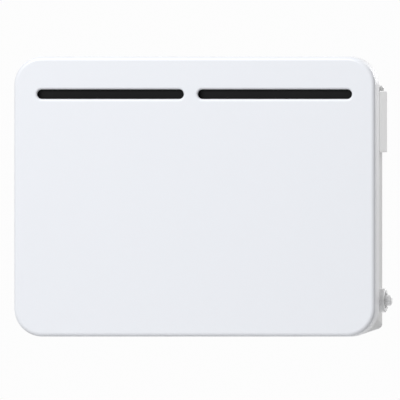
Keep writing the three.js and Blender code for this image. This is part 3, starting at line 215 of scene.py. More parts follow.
def finish(name, color, roughness, grain, relief, spread=0.03, metallic=0.0, specular=0.5, crystals=0):
    """A finish whose shade drifts, in clouds or in crystals, with a fine grain in its surface and sheen."""
    material = bpy.data.materials.new(name)
    material.use_nodes = True
    tree = material.node_tree
    shader = tree.nodes["Principled BSDF"]
    shader.inputs["Metallic"].default_value = metallic
    shader.inputs["Specular IOR Level"].default_value = specular
    place = tree.nodes.new("ShaderNodeTexCoord")

    drift = tree.nodes.new("ShaderNodeTexVoronoi" if crystals else "ShaderNodeTexNoise")
    drift.inputs["Scale"].default_value = 1 / (crystals * millimetre) if crystals else 9
    tree.links.new(place.outputs["Object"], drift.inputs["Vector"])
    tint = tree.nodes.new("ShaderNodeMix")
    tint.data_type = "RGBA"
    tint.inputs["A"].default_value = [c * (1 - spread) for c in color] + [1]
    tint.inputs["B"].default_value = [min(1, c * (1 + spread)) for c in color] + [1]
    tree.links.new(drift.outputs["Color"], tint.inputs["Factor"])
    tree.links.new(tint.outputs["Result"], shader.inputs["Base Color"])

    fine = tree.nodes.new("ShaderNodeTexNoise")
    fine.inputs["Scale"].default_value = 1 / (grain * millimetre)
    fine.inputs["Detail"].default_value = 3
    tree.links.new(place.outputs["Object"], fine.inputs["Vector"])
    sheen = tree.nodes.new("ShaderNodeMapRange")
    sheen.inputs["To Min"].default_value = roughness[0]
    sheen.inputs["To Max"].default_value = roughness[1]
    tree.links.new(fine.outputs["Fac"], sheen.inputs["Value"])
    tree.links.new(sheen.outputs["Result"], shader.inputs["Roughness"])
    bump = tree.nodes.new("ShaderNodeBump")
    bump.inputs["Distance"].default_value = relief * millimetre
    tree.links.new(fine.outputs["Fac"], bump.inputs["Height"])
    tree.links.new(bump.outputs["Normal"], shader.inputs["Normal"])
    return material


galvanised = finish("galvanised_sheet", (0.54, 0.55, 0.57), (0.28, 0.42), 1, 0.002, 0.16, 1.0, crystals=6)
hook_places = [(across * hook_spacing / 2, up * hook_pitch / 2) for across in (-1, 1) for up in (-1, 1)]
half_plate = bracket_width / 2
opening_side = half_plate - bracket_leg
opening_far = bracket_height / 2 - bracket_rail
loops = [centred(0, 0, half_plate, bracket_height / 2, bracket_corner)]
for low, high in ((-opening_far, -bracket_rail / 2), (bracket_rail / 2, opening_far)):
    loops.append(rounded(-opening_side, opening_side, low, high, bracket_corner / 2))
for x, z in hook_places:
    half = hook_width / 2 + sheet_fit
    low = z + bracket_sheet
    loops.append(rounded(x - half, x + half, low, low + tongue_window, sheet_fit, steps=2))
for across in (-1, 1):
    for up in (-1, 1):
        x = across * keyhole_spacing / 2
        z = up * (bracket_height - bracket_rail) / 2 - keyhole_rise / 4
        meet = math.degrees(math.acos(keyhole_shank / keyhole_head))
        head = arc(x, z, keyhole_head, 180 - meet, 360 + meet, 24)
        loops.append(head + arc(x, z + keyhole_rise - keyhole_shank, keyhole_shank, 0, 180, 10))
parts = [plate(loops, wall_distance - bracket_sheet, wall_distance, face_on)]
for x, z in hook_places:
    front = wall_distance - hook_reach
    root = wall_distance - bracket_sheet / 2
    tongue = [(root, z, 0), (root, z + bracket_sheet, 0),
              (front + bracket_sheet, z + bracket_sheet, hook_bend - bracket_sheet),
              (front + bracket_sheet, z + hook_height, 0), (front, z + hook_height, 0), (front, z, hook_bend)]
    parts.append(plate([eased(tongue)], x - hook_width / 2, x + hook_width / 2, end_on))
add_piece("bracket_plate", welded(parts), galvanised, ["wall_bracket"], body="wall_bracket",
          edge=0.1)

# Rear casing: a tray drawn from thin steel sheet, whose top and bottom slope in towards the wall.
# It is powder-coated after pressing, in a satin white with a faint orange-peel ripple.
# One corner is set back to make room for the control housing, and air comes in through slots in the bottom.

panel_width = 527.5
panel_height = 400
half_width = panel_width / 2
half_height = panel_height / 2
rim_back = 31
rim_flange = 20
window_radius = 6
casing_sheet = 0.8
casing_back = 84
casing_bend = 2.5
casing_inset = 6.5
top_insets = (8, 50)
bottom_insets = (0.5, 11.5)
casing_radii = (32, 6)
inlet_width = 4
inlet_length = 30
inlet_pitch = 11
inlet_count = 28
inlet_depth = 58
pocket_width = 33.75
pocket_drop = 137.8
lift_travel = 12
hook_side_fit = 1
pilot_radius = 1.7
clip_radius = 4.7
screw_shares = (-0.5, 0.2)
stud_shares = (-0.72, 0.05)
screw_rise = 3.5
shield_half_width = half_width - 63.75
shield_foot = 14
shield_top = half_height - 92
shield_bottom = 32 - half_height
switch_depth = 57.5
switch_level = 51.6 - half_height
nose_radius = 10
grommet_place = (half_width - 64, 66)
grommet_hole = 6.8
control_lead_hole = 2.1
control_lead_place = (249.6, 78.2)
housing_screws = [(44.868, 84.18), (72, 129.42)]
overrun = 2
same_place = 1e-4
right, back, forward, up = (1, 0, 0), (0, 1, 0), (0, -1, 0), (0, 0, 1)


def at(x, depth, z):
    return Vector((x, depth - wall_distance, z))


def ring(points, depth):
    return [at(x, depth, z) for x, z in points]


def stitched(made, rings):
    """Fills the bands between rings of as many points each, and gives back their corners."""
    loops = [[made.verts.new(point) for point in points] for points in rings]
    for near, far in zip(loops, loops[1:]):
        for k in range(len(near)):
            made.faces.new((near[k - 1], near[k], far[k], far[k - 1]))
    return loops


def skinned(rings, ends=True):
    """A skin over rings, with flat ends or none."""
    made = bmesh.new()
    loops = stitched(made, rings)
    if ends:
        made.faces.new(loops[0])
        made.faces.new(loops[-1])
    bmesh.ops.recalc_face_normals(made, faces=made.faces)
    return made


def block(x, depths, z):
    """A plain box from its two ends along each axis."""
    outline = [(x[0], z[0]), (x[1], z[0]), (x[1], z[1]), (x[0], z[1])]
    return plate([outline], depths[0], depths[1], face_on)


def stood(made, place, direction):
    """Leans an upright drawing to a direction and moves it to a place."""
    lean = Vector((0, 0, 1)).rotation_difference(Vector(direction)).to_matrix().to_4x4()
    bmesh.ops.transform(made, matrix=Matrix.Translation(place) @ lean, verts=made.verts)
    return made


def turned(profile, place, direction, steps=48):
    """A turned piece: (radius, height) pairs spun about an axis through a place."""
    made = bmesh.new()
    line = [made.verts.new((radius, 0, height)) for radius, height in profile]
    edges = [made.edges.new(pair) for pair in zip(line, line[1:])]
    bmesh.ops.spin(made, geom=line + edges, cent=(0, 0, 0), axis=(0, 0, 1), angle=math.tau, steps=steps)
    bmesh.ops.remove_doubles(made, verts=made.verts, dist=same_place)
    stood(made, place, direction)
    bmesh.ops.recalc_face_normals(made, faces=made.faces)
    return made


def rod(radius, length, place, direction, steps=32):
    return turned([(0, 0), (radius, 0), (radius, length), (0, length)], place, direction, steps)


def drills(places, depth, length, radius=pilot_radius, steps=24):
    """Cutters for round holes that run from one depth towards the wall."""
    return [rod(radius, length, at(x, depth, z), back, steps) for x, z in places]


def side_drills(x, length):
    """Cutters for the holes of the screws that hold the control housing."""
    return [rod(pilot_radius, length, at(x, depth, z), right, 24) for depth, z in housing_screws]


def quarter(radius, steps):
    """Pairs of inset and rise round a quarter circle, from an upright side to a flat top."""
    angles = [math.pi / 2 * i / steps for i in range(steps + 1)]
    return [(radius * (1 - math.cos(a)), radius * math.sin(a)) for a in angles]


def rolled(drawn, level, radius, steps, way=1, inset=0):
    """What drawn(inset, level) makes round an edge: from the side to the top, or with -1 from the foot."""
    return [drawn(inset + more, level + way * rise) for more, rise in quarter(radius, steps)][::way]


def within(radius):
    """Draws a turned profile's points by their inset from a radius."""
    return lambda inset, height: (radius - inset, height)


def casing_ring(inset, depth):
    share = (depth - rim_back) / (casing_back - rim_back)
    between = lambda ends: ends[0] + (ends[1] - ends[0]) * share
    side = half_width - casing_inset - inset
    bottom = between(bottom_insets) - half_height + inset
    top = half_height - between(top_insets) - inset
    return ring(rounded(-side, side, bottom, top, between(casing_radii) - inset, steps=20), depth)


def pocket(inset):
    return block((half_width - pocket_width + inset, half_width + overrun),
                 (rim_back + inset, casing_back + overrun),
                 (half_height - pocket_drop + inset, half_height + overrun))


casing_coat = finish("casing_powder_coat", (0.81, 0.81, 0.81), (0.50, 0.60), 1.2, 0.006, 0.006, specular=0.3)
bend_depth = casing_back - casing_bend
window_side = half_width - rim_flange
window_rise = half_height - rim_flange
window_outline = centred(0, 0, window_side, window_rise, window_radius, steps=24)
flange_middle = half_width - (casing_inset + rim_flange) / 2
frame_screw_places = []
for side in (-1, 1):
    frame_screw_places += [(side * flange_middle, share * half_height) for share in screw_shares]
    frame_screw_places += [(side * half_width / 2, way * (window_rise + screw_rise)) for way in (1, -1)]
stud_places = [(side * flange_middle, share * half_height) for side in (-1, 1) for share in stud_shares]
shield_screw_x = shield_half_width + shield_foot / 2
shield_screw_places = [(side * shield_screw_x, z) for side in (-1, 1)
                       for z in (shield_top - shield_foot, shield_bottom + shield_foot)]
middle_depths = [rim_back + (bend_depth - rim_back) * i / 6 for i in range(1, 6)]
outer = rolled(casing_ring, rim_back + casing_sheet, casing_sheet, 4, -1)
outer += [casing_ring(0, depth) for depth in middle_depths]
outer += rolled(casing_ring, bend_depth, casing_bend, 6)
inner = [casing_ring(casing_sheet, depth) for depth in [rim_back + casing_sheet] + middle_depths]
inner += rolled(casing_ring, bend_depth, casing_bend - casing_sheet, 5, inset=casing_sheet)
flange_span = (rim_back - overrun, rim_back + casing_sheet + overrun)
casing_bottom = lambda depth: min(point.z for point in casing_ring(0, depth))
slope = math.atan2(bottom_insets[1] - bottom_insets[0], casing_back - rim_back)
grommet_axis = Vector((0, -math.sin(slope), math.cos(slope)))
grommet_seat = at(*grommet_place, casing_bottom(grommet_place[1]))
cutters = [cut_out(skinned(inner), [pocket(0)]),
           cut_out(plate([window_outline], *flange_span, face_on), [pocket(0)]), pocket(casing_sheet)]
for i in range(inlet_count):
    x = (i - (inlet_count - 1) / 2) * inlet_pitch
    level = casing_bottom(inlet_depth)
    inlet = centred(x, inlet_depth, inlet_width / 2, inlet_length / 2, inlet_width / 2.01, steps=6)
    cutters.append(plate([inlet], level - inlet_length / 2, level + inlet_length / 2, upright))
for x, z in hook_places:
    half = hook_width / 2 + hook_side_fit
    low, high = z - lift_travel - bracket_sheet, z + bracket_sheet + sheet_fit
    slot_outline = rounded(x - half, x + half, low, high, hook_side_fit, steps=4)
    cutters.append(plate([slot_outline], casing_back - 4 * casing_sheet, casing_back + overrun, face_on))
cutters += drills(frame_screw_places, rim_back - 1, 4)
cutters += drills(stud_places, rim_back - 1, 4, clip_radius + sheet_fit, 32)
cutters += drills(shield_screw_places, casing_back - overrun, 4)
cutters += side_drills(half_width - pocket_width - overrun, 4)
casing_side = half_width - casing_inset
cutters.append(rod(nose_radius + sheet_fit, 6, at(casing_side - 3, switch_depth, switch_level), right))
cutters.append(rod(grommet_hole, 5, grommet_seat - grommet_axis * overrun, grommet_axis))
pocket_floor = half_height - pocket_drop
cutters.append(rod(control_lead_hole, 5, at(*control_lead_place, pocket_floor - overrun), up, 24))
add_piece("casing_shell", cut_out(skinned(outer), cutters), casing_coat, ["rear_casing"])

# Heat shield: a hat section of thin galvanised sheet, which keeps the casing's back cool.
# Its two feet are screwed through the back by pan-head screws with a cross recess, plated with zinc.

shield_sheet = 0.6
shield_depth = 68
shield_bend = 1.2
inner_back = casing_back - casing_sheet
shank_radius = 1.5
head_radius = 3.2
head_height = 2
head_rim = 0.6
thread_pitch = 0.8
thread_form = ((0.84, 0.35), (0.84, 0.55), (1, 0.9))
screw_tip = 0.2
recess_half = 0.3
recess_reach = 1.5
recess_depth = 1.1

plated = finish("zinc_plating", (0.55, 0.56, 0.58), (0.24, 0.36), 0.5, 0.001, 0.10, 1.0, crystals=1.5)


def screw(place, direction, length):
    """A screw whose head rests at the given place and whose threaded shank runs on past it."""
    profile = [(0, -head_height)]
    profile += [(head_radius * math.sin(a), -head_rim - (head_height - head_rim) * math.cos(a))
                for a in (math.pi / 2 * i / 6 for i in range(1, 7))]
    profile += [(head_radius, 0), (shank_radius, 0)]
    for i in range(int((length - 2 * screw_tip) / thread_pitch)):
        profile += [(shank_radius * share, (i + along) * thread_pitch) for share, along in thread_form]
    profile += [(shank_radius, length - screw_tip), (shank_radius - screw_tip, length), (0, length)]
    made = turned(profile, (0, 0, 0), up, 24)
    recesses = []
    for wide, deep in ((recess_reach, recess_half), (recess_half, recess_reach)):
        outline = [(-wide, -deep), (wide, -deep), (wide, deep), (-wide, deep)]
        recesses.append(plate([outline], -head_height - 1, recess_depth - head_height, Matrix.Identity(4)))
    return stood(cut_out(made, recesses), place, direction)


def add_screws(word, places, direction, length):
    """Screws of one length, whose heads rest at the given places."""
    for i, place in enumerate(places):
        add_piece(f"{word}_fixing_{i + 1}", screw(place, direction, length), plated,
                  [f"{word}_screw_{i + 1}"])


foot_end = shield_half_width + shield_foot
half_hat = [(foot_end, inner_back - shield_sheet, 0), (foot_end, inner_back, 0),
            (shield_half_width - shield_sheet, inner_back, shield_bend + shield_sheet),
            (shield_half_width - shield_sheet, shield_depth + shield_sheet, shield_bend - shield_sheet)]
half_brim = [(shield_half_width, shield_depth, shield_bend),
             (shield_half_width, inner_back - shield_sheet, shield_bend)]
mirrored = lambda corners: [(-x, depth, radius) for x, depth, radius in reversed(corners)]
hat = eased(half_hat + mirrored(half_hat) + mirrored(half_brim) + half_brim)
holes = drills(shield_screw_places, inner_back - overrun, 3)
shield = cut_out(plate([hat], shield_bottom, shield_top, upright), holes)
add_piece("shield_sheet", shield, galvanised, ["heat_shield"])
add_screws("shield", [at(x, inner_back - shield_sheet, z) for x, z in shield_screw_places], back,
           shield_sheet + casing_sheet)

# Cut-out: a bimetal switch in a black phenolic cup with a steel cap, held on the shield by two ears.
# It opens the circuit if the air behind the panel can't get away.

element_level = 72 - half_height
cutout_x = shield_half_width / 3
cutout_level = element_level + 90
cutout_radius = 8
cutout_height = 5
cap_radius = 6.4
cap_height = 4
ear_reach = 15
ear_half_width = 4
ear_sheet = 1.2

black_plastic = finish("black_phenolic", (0.03, 0.03, 0.032), (0.45, 0.6), 0.6, 0.006)
cup_edge = 0.5
profile = [(0, 0, 0), (cutout_radius, 0, 0), (cutout_radius, cutout_height, cup_edge),
           (cap_radius, cutout_height, cup_edge / 2), (cap_radius, cutout_height + cap_height, 2 * cup_edge),
           (0, cutout_height + cap_height, 0)]
cup = turned(eased(profile), at(cutout_x, shield_depth, cutout_level), forward)
ears = centred(cutout_x, cutout_level, ear_reach, ear_half_width, ear_half_width - 0.01)
eyes = [circle(cutout_x + side * (ear_reach - ear_half_width), cutout_level, pilot_radius, 24)
        for side in (-1, 1)]
ear_plate = plate([ears] + eyes, shield_depth - ear_sheet, shield_depth, face_on)
add_piece("cutout_cup", welded([cup, ear_plate]), black_plastic, ["thermal_cutout"])

# Heating element: an X-shaped aluminium extrusion on a steel sheath, carried at each end by a bent bracket.
# Ceramic bushes sit in the brackets' holes, so that the hot sheath never touches the sheet.
# The extrusion keeps the fine lines of its die along its length.

element_depth = 50
wing_span = 30
wing_thickness = 2.2
wing_splay = 24
hub_radius = 7.5
sheath_radius = 4
running_fit = 0.3
carrier_x = shield_half_width + 22
carrier_sheet = 1
carrier_foot = 20
carrier_front = 36
carrier_half_height = 40
bush_radius = 8
bush_flange_radius = 11
bush_flange = 3
bush_nose = 5
element_half = carrier_x - 16
sheath_half = carrier_x + 13
rib_count = 4
rib_height = 0.35
rib_form = ((-0.6, 0), (-0.2, 1), (0.2, 1), (0.6, 0))

aluminium = finish("extruded_aluminium", (0.68, 0.69, 0.70), (0.3, 0.42), 1.5, 0.004, 0.03, 1.0)
ceramic = finish("steatite", (0.74, 0.70, 0.60), (0.5, 0.7), 0.6, 0.01)
wings = [90 - wing_splay, 90 + wing_splay, 270 - wing_splay, 270 + wing_splay]
half_wing = wing_thickness / 2
centre = Vector((element_depth, element_level))
reaches = [hub_radius + (wing_span - hub_radius) * (k + 1) / (rib_count + 2) for k in range(rib_count)]
outline = []
for i, degrees in enumerate(wings):
    along = Vector((math.cos(math.radians(degrees)), math.sin(math.radians(degrees))))
    aside = Vector((-along.y, along.x))
    for way in (-1, 1):
        line = [centre + along * math.sqrt(hub_radius**2 - half_wing**2) + aside * way * half_wing]
        for reach in reaches:
            line += [centre + along * (reach + step) + aside * way * (half_wing + lift * rib_height)
                     for step, lift in rib_form]
        tip = [centre + along * (wing_span - half_wing) + along * half_wing * math.cos(a)
               + aside * way * half_wing * math.sin(a) for a in (math.pi / 2 * (1 - k / 5) for k in range(6))]
        line += tip
        outline += [tuple(point) for point in (line if way < 0 else reversed(line[:-1]))]
    half = math.degrees(math.asin(half_wing / hub_radius))
    sweep = (wings[(i + 1) % 4] - degrees) % 360
    outline += arc(element_depth, element_level, hub_radius, degrees + half, degrees + sweep - half, 10)[1:-1]
bore = circle(element_depth, element_level, sheath_radius + running_fit)
element = plate([outline, bore], -element_half, element_half, end_on)
add_piece("element_extrusion", element, aluminium, ["heating_element"])
sheath_axis = at(-sheath_half, element_depth, element_level)
sheath = [(0, 0, 0), (sheath_radius, 0, 0.6), (sheath_radius, 2 * sheath_half, 0.6), (0, 2 * sheath_half, 0)]
add_piece("sheath_tube", turned(eased(sheath), sheath_axis, right), plated, ["element_sheath"])
for word, side in (("left", -1), ("right", 1)):
    web, outer_web = side * carrier_x, side * (carrier_x + carrier_sheet)
    foot = side * (carrier_x + carrier_foot)
    section = [(web, carrier_front, 0), (outer_web, carrier_front, 0),
               (outer_web, inner_back - carrier_sheet, carrier_sheet / 2),
               (foot, inner_back - carrier_sheet, 0), (foot, inner_back, 0),
               (web, inner_back, 1.5 * carrier_sheet)]
    low, high = element_level - carrier_half_height, element_level + carrier_half_height
    hole = rod(bush_radius + running_fit, 5, at(side * (carrier_x - overrun), element_depth, element_level),
               (side, 0, 0))
    made = cut_out(plate([eased(section)], low, high, upright), [hole])
    add_piece(f"carrier_{word}", made, galvanised, [f"element_carrier_{word}"])
    inside = sheath_radius + running_fit
    nose = carrier_sheet + bush_nose
    profile = eased([(inside, -bush_flange, 0.4), (bush_flange_radius, -bush_flange, 0.8),
                     (bush_flange_radius, 0, 0.4), (bush_radius, 0, 0), (bush_radius, nose, 0.8),
                     (inside, nose, 0.4)])
    made = turned(profile + profile[:1], at(side * carrier_x, element_depth, element_level), (side, 0, 0))
    add_piece(f"bush_{word}", made, ceramic, [f"element_bush_{word}"])

# Terminal block: glazed ceramic with a wire way and two screw wells for each of its three lines.
# Shallow grooves part the ways on its front and its ends.

terminal_left = carrier_x + 2 * carrier_sheet
terminal_right = terminal_left + 24
terminal_level = element_level + 66
terminal_pitch = 12
terminal_front = inner_back - 15
wire_depth = inner_back - 5
wire_way = 2.2
well_radius = 2.6
groove = 0.8

ways = [terminal_level + k * terminal_pitch for k in (-1, 0, 1)]
tall = 1.5 * terminal_pitch
cutters = [rod(wire_way, 30, at(terminal_left - overrun, wire_depth, z), right) for z in ways]
cutters += [rod(well_radius, 5 + overrun, at(x, terminal_front - overrun, z), back)
            for z in ways for x in (terminal_left + 6, terminal_right - 6)]
for z in (terminal_level - terminal_pitch / 2, terminal_level + terminal_pitch / 2):
    cutters.append(block((terminal_left - 1, terminal_right + 1),
                         (terminal_front - 1, terminal_front + groove), (z - groove / 2, z + groove / 2)))
body = plate([rounded(terminal_left, terminal_right, terminal_level - tall, terminal_level + tall, 1.2)],
             terminal_front, inner_back, face_on)
add_piece("terminal_body", cut_out(body, cutters), ceramic, ["terminal_block"], edge=0.25)

# Mains switch: a black body behind the casing's side, whose round nose comes through into a white collar.
# The collar is a turned and polished nylon nut, and the button stands in it with a gap all round.
# A coil of spring wire round the button's stem pushes it out again.

collar_radius = 17
collar_length = 10.7
collar_edge = 1.6
collar_lip = 0.8
collar_bore = 11.5
collar_floor = 3
button_radius = 7.5
button_stand = 8.7
button_edge = 4
button_length = 10
button_travel = 3
stem_radius = 4
stem_length = 26
switch_half_width = 11
switch_half_height = 14
switch_length = 27.5
wire_radius = 0.4
coil_radius = 5.6
coil_turns = 3
coil_steps = 24
nylon_scatter = 10


def wound(path, radius, sides):
    """A round wire or lead along a path, its rings carried along without twist."""
    rings = []
    across = None
    for i, here in enumerate(path):
        along = (path[min(i + 1, len(path) - 1)] - path[max(i - 1, 0)]).normalized()
        across = (across or along.orthogonal()) - along * (across or along.orthogonal()).dot(along)
        across.normalize()
        other = along.cross(across)
        rings.append([here + (across * math.cos(a) + other * math.sin(a)) * radius
                      for a in (math.tau * k / sides for k in range(sides))])
    return skinned(rings)


white_nylon = finish("white_nylon", (0.95, 0.95, 0.95), (0.34, 0.44), 0.5, 0.005, 0.004, specular=0.9)
nylon_shader = white_nylon.node_tree.nodes["Principled BSDF"]
nylon_shader.inputs["Subsurface Weight"].default_value = 0.6
nylon_shader.inputs["Subsurface Scale"].default_value = nylon_scatter * millimetre
nylon_shader.inputs["Subsurface Radius"].default_value = (1, 1, 1)
on_switch = lambda x: at(x, switch_depth, switch_level)
shoulder = casing_side - casing_sheet - sheet_fit
nose_face = casing_side + collar_floor
collar_face = casing_side + collar_length
button_end = collar_face + button_stand
button_foot = button_end - button_length
body = plate([centred(switch_depth, switch_level, switch_half_width, switch_half_height, 1.5)],
             shoulder - switch_length, shoulder, end_on)
nose_foot = shoulder - overrun
nose = [(0, 0, 0), (nose_radius, 0, 0), (nose_radius, nose_face - nose_foot, 0.6),
        (0, nose_face - nose_foot, 0)]
stem_end = button_foot - stem_length - button_travel - running_fit
stem_way = rod(stem_radius + running_fit, nose_face - stem_end + overrun, on_switch(stem_end), right)
body = cut_out(welded([body, turned(eased(nose), on_switch(nose_foot), right)]), [stem_way])
add_piece("switch_case", body, black_plastic, ["switch_body"], edge=0.15)

thread = nose_radius + sheet_fit
profile = [(thread, 0), (collar_radius, 0)]
profile += rolled(within(collar_radius), collar_length - collar_edge, collar_edge, 8)
profile += rolled(lambda inset, height: (collar_bore + inset, height), collar_length - collar_lip,
                  collar_lip, 5)[::-1]
profile += [(collar_bore, collar_floor), (thread, collar_floor), (thread, 0)]
made = turned(profile, on_switch(casing_side), right, 96)
add_piece("collar_nut", made, white_nylon, ["switch_collar"])

profile = [(0, -stem_length), (stem_radius, -stem_length), (stem_radius, 0), (button_radius, 0)]
profile += rolled(within(button_radius), button_length - button_edge, button_edge, 12)
profile.append((0, button_length))
made = turned(profile, on_switch(button_foot), right, 72)
add_piece("button_cap", made, white_nylon, ["power_button"], body="power_button")

spring_start = nose_face + wire_radius + running_fit
spring_end = button_foot - wire_radius - running_fit
path = []
for i in range(coil_turns * coil_steps + 1):
    turn = math.tau * i / coil_steps
    x = spring_start + (spring_end - spring_start) * i / (coil_turns * coil_steps)
    path.append(on_switch(x) + Vector((0, math.cos(turn), math.sin(turn))) * coil_radius)
spring = add_piece("return_spring", wound(path, wire_radius, 10), plated, ["button_spring"])
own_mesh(spring)

# Control housing: a box moulded in white plastic, screwed to the wall of the casing's set-back corner.
# It has a matt spark-eroded surface, four vent slots underneath for the sensor and bosses for its cover.

housing_left = half_width - pocket_width + casing_sheet + sheet_fit
housing_front = rim_back + casing_sheet + sheet_fit
housing_back = 85.3
housing_bottom = pocket_floor + casing_sheet + sheet_fit
housing_top = housing_bottom + 87
housing_wall = 2
housing_corner = 3.2
housing_edge = 1
boss_radius = 3.5
boss_inset = housing_wall + 6 - boss_radius / 2
cover_sheet = 2
cover_front = housing_back - 1 - cover_sheet
board_left = housing_left + 9
board_sheet = 1.6
board_front, board_back = 37, 80
board_bottom, board_top = housing_bottom + 12.2, housing_top - 12.2
dial_x = half_width - 10.95
dial_depth = 66
pot_bush = 4.4
vent_count = 4
vent_end = 251.75
sensor_depth = 62
screw_length = 6


def housing_ring(inset, x):
    outline = rounded(housing_front + inset, housing_back - inset, housing_bottom + inset,
                      housing_top - inset, housing_corner - inset, steps=12)
    return [at(x, depth, z) for depth, z in outline]


housing_white = finish("moulded_white_plastic", (0.85, 0.85, 0.85), (0.42, 0.52), 0.35, 0.006, 0.006)
rings = rolled(housing_ring, housing_left + housing_edge, housing_edge, 5, -1)
rings += rolled(housing_ring, half_width - housing_edge, housing_edge, 5)
hollow = block((housing_left + housing_wall, half_width - housing_wall),
               (housing_front + housing_wall, housing_back + overrun),
               (housing_bottom + housing_wall, housing_top - housing_wall))
boss_places = [(housing_left + boss_inset, housing_top - boss_inset),
               (half_width - boss_inset, housing_bottom + boss_inset)]
boss_foot = housing_front + housing_wall / 2
standoff_foot = housing_left + housing_wall / 2
posts = [rod(boss_radius, cover_front - boss_foot, at(x, boss_foot, z), back) for x, z in boss_places]
posts += [rod(boss_radius, board_left - standoff_foot, at(standoff_foot, depth, z), right)
          for depth, z in housing_screws]
holes = drills(boss_places, cover_front - screw_length - overrun, 10)
holes += side_drills(housing_left - overrun, 9)
holes.append(rod(pot_bush + sheet_fit, 6, at(dial_x, dial_depth, housing_top - 4), up))
holes.append(rod(control_lead_hole, 7, at(*control_lead_place, pocket_floor - overrun), up, 24))
for i in range(vent_count):
    depth = sensor_depth + (i - (vent_count - 1) / 2) * 2 * housing_wall
    vent = rounded(board_left + board_sheet + housing_wall, vent_end, depth - housing_wall / 2,
                   depth + housing_wall / 2, housing_wall / 2.02, steps=4)
    holes.append(plate([vent], housing_bottom - overrun, housing_bottom + housing_wall + overrun, upright))
made = cut_out(welded([cut_out(skinned(rings), [hollow])] + posts), holes)
add_piece("control_box", made, housing_white, ["control_housing"])
add_screws("housing", [at(half_width - pocket_width, depth, z) for depth, z in housing_screws], right,
           casing_sheet + housing_wall + screw_length / 2)

# Thermostat board: green-coated glass fibre with a relay, a capacitor and the sensor's bead on it.
# The bead hangs over the vents, where room air rises past it. A cover with two screws shuts the box.

relay_front = board_front + 4
relay_bottom = board_bottom + 4
relay_deep, relay_tall, relay_stand = 16, 19, 15
capacitor_radius = 5
capacitor_length = 13
bead_radius = 2

board_green = finish("board_green", (0.03, 0.17, 0.07), (0.3, 0.4), 1, 0.004, 0.25)
board_right = board_left + board_sheet
made = plate([rounded(board_front, board_back, board_bottom, board_top, 1)], board_left, board_right, end_on)
add_piece("thermostat_board", made, board_green, ["circuit_board"])
made = plate([rounded(relay_front, relay_front + relay_deep, relay_bottom, relay_bottom + relay_tall, 0.8)],
             board_right, board_right + relay_stand, end_on)
add_piece("relay_case", made, black_plastic, ["relay"], edge=0.5)
profile = [(0, 0, 0), (capacitor_radius, 0, 0.3), (capacitor_radius, 1.6, 0),
           (capacitor_radius - 0.5, 2.1, 0.3), (capacitor_radius, 2.6, 0),
           (capacitor_radius, capacitor_length, 0.8), (capacitor_radius - 1, capacitor_length, 0),
           (capacitor_radius - 1.2, capacitor_length - 0.3, 0), (0, capacitor_length - 0.3, 0)]
made = turned(eased(profile), at(board_right, board_back - 2 * capacitor_radius, board_bottom + 20), right)
add_piece("capacitor_can", made, black_plastic, ["capacitor"])
bead_foot = housing_bottom + housing_wall + bead_radius
bead_length = board_bottom + 4 - bead_foot
profile = rolled(within(bead_radius), bead_radius, bead_radius, 8, -1)
profile += [(bead_radius, bead_length), (0, bead_length)]
bead = turned(profile, at(board_right + 6, sensor_depth, bead_foot), up, 32)
leg = block((board_right, board_right + 6), (sensor_depth - 1, sensor_depth + 1),
            (board_bottom + 1, board_bottom + 3))
add_piece("sensor_bead", welded([bead, leg]), black_plastic, ["room_sensor"], edge=0.15)
gap = housing_wall + sheet_fit
cover = rounded(housing_left + gap, half_width - gap, housing_bottom + gap, housing_top - gap, 1)
holes = [circle(x, z, pilot_radius, 24) for x, z in boss_places]
made = plate([cover] + holes, cover_front, cover_front + cover_sheet, face_on)
add_piece("housing_cover", made, housing_white, ["control_cover"], edge=0.15)
add_screws("cover", [at(x, cover_front + cover_sheet, z) for x, z in boss_places], forward,
           cover_sheet + screw_length)

# Temperature dial: a white nylon cap with eighteen flutes, a rounded crown and a pointer notch.
# It is pushed onto the shaft of a potentiometer, whose threaded bush comes up through the housing's top.

dial_gap = 0.4
dial_radius = 10.2
dial_height = 7.4
dial_edge = 4.4
dial_foot_edge = 0.6
flute_count = 18
flute_radius = 1.1
flute_steps = 12
notch_half = 0.7
notch_depth = 0.6
pot_radius = 8
pot_edge = 0.4
shaft_radius = 3

pot_top = housing_top - housing_wall - sheet_fit
pot_bottom = pot_top - 9
bush_top = housing_top + dial_gap
shaft_bottom = pot_bottom + 2
shaft_top = bush_top + dial_height - dial_edge
shaft_bore = shaft_radius + running_fit
profile = [(0, pot_bottom), (pot_radius - pot_edge, pot_bottom), (pot_radius, pot_bottom + pot_edge),
           (pot_radius, pot_top - pot_edge), (pot_radius - pot_edge, pot_top), (pot_bush, pot_top)]
threads = 4
rise = (bush_top - pot_top) / threads
for i in range(threads):
    profile += [(pot_bush - 0.2, pot_top + (i + 0.4) * rise), (pot_bush, pot_top + (i + 0.9) * rise)]
profile += [(pot_bush - 0.2, bush_top), (shaft_bore, bush_top), (shaft_bore, shaft_bottom - running_fit),
            (0, shaft_bottom - running_fit)]
can = turned(profile, at(dial_x, dial_depth, 0), up)
foot = block((board_right, dial_x - pot_radius / 2),
             (dial_depth - pot_radius / 2, dial_depth + pot_radius / 2),
             (pot_bottom, shaft_bottom - running_fit))
add_piece("pot_can", welded([can, foot]), plated, ["potentiometer"])
profile = eased([(0, shaft_bottom, 0), (shaft_radius, shaft_bottom, 0), (shaft_radius, shaft_top, 0.5),
                 (0, shaft_top, 0)])
made = turned(profile, at(dial_x, dial_depth, 0), up)
add_piece("pot_shaft", made, plated, ["dial_shaft"], body="temperature_dial")

dial_bottom = bush_top + running_fit
dial_top = dial_bottom + dial_height


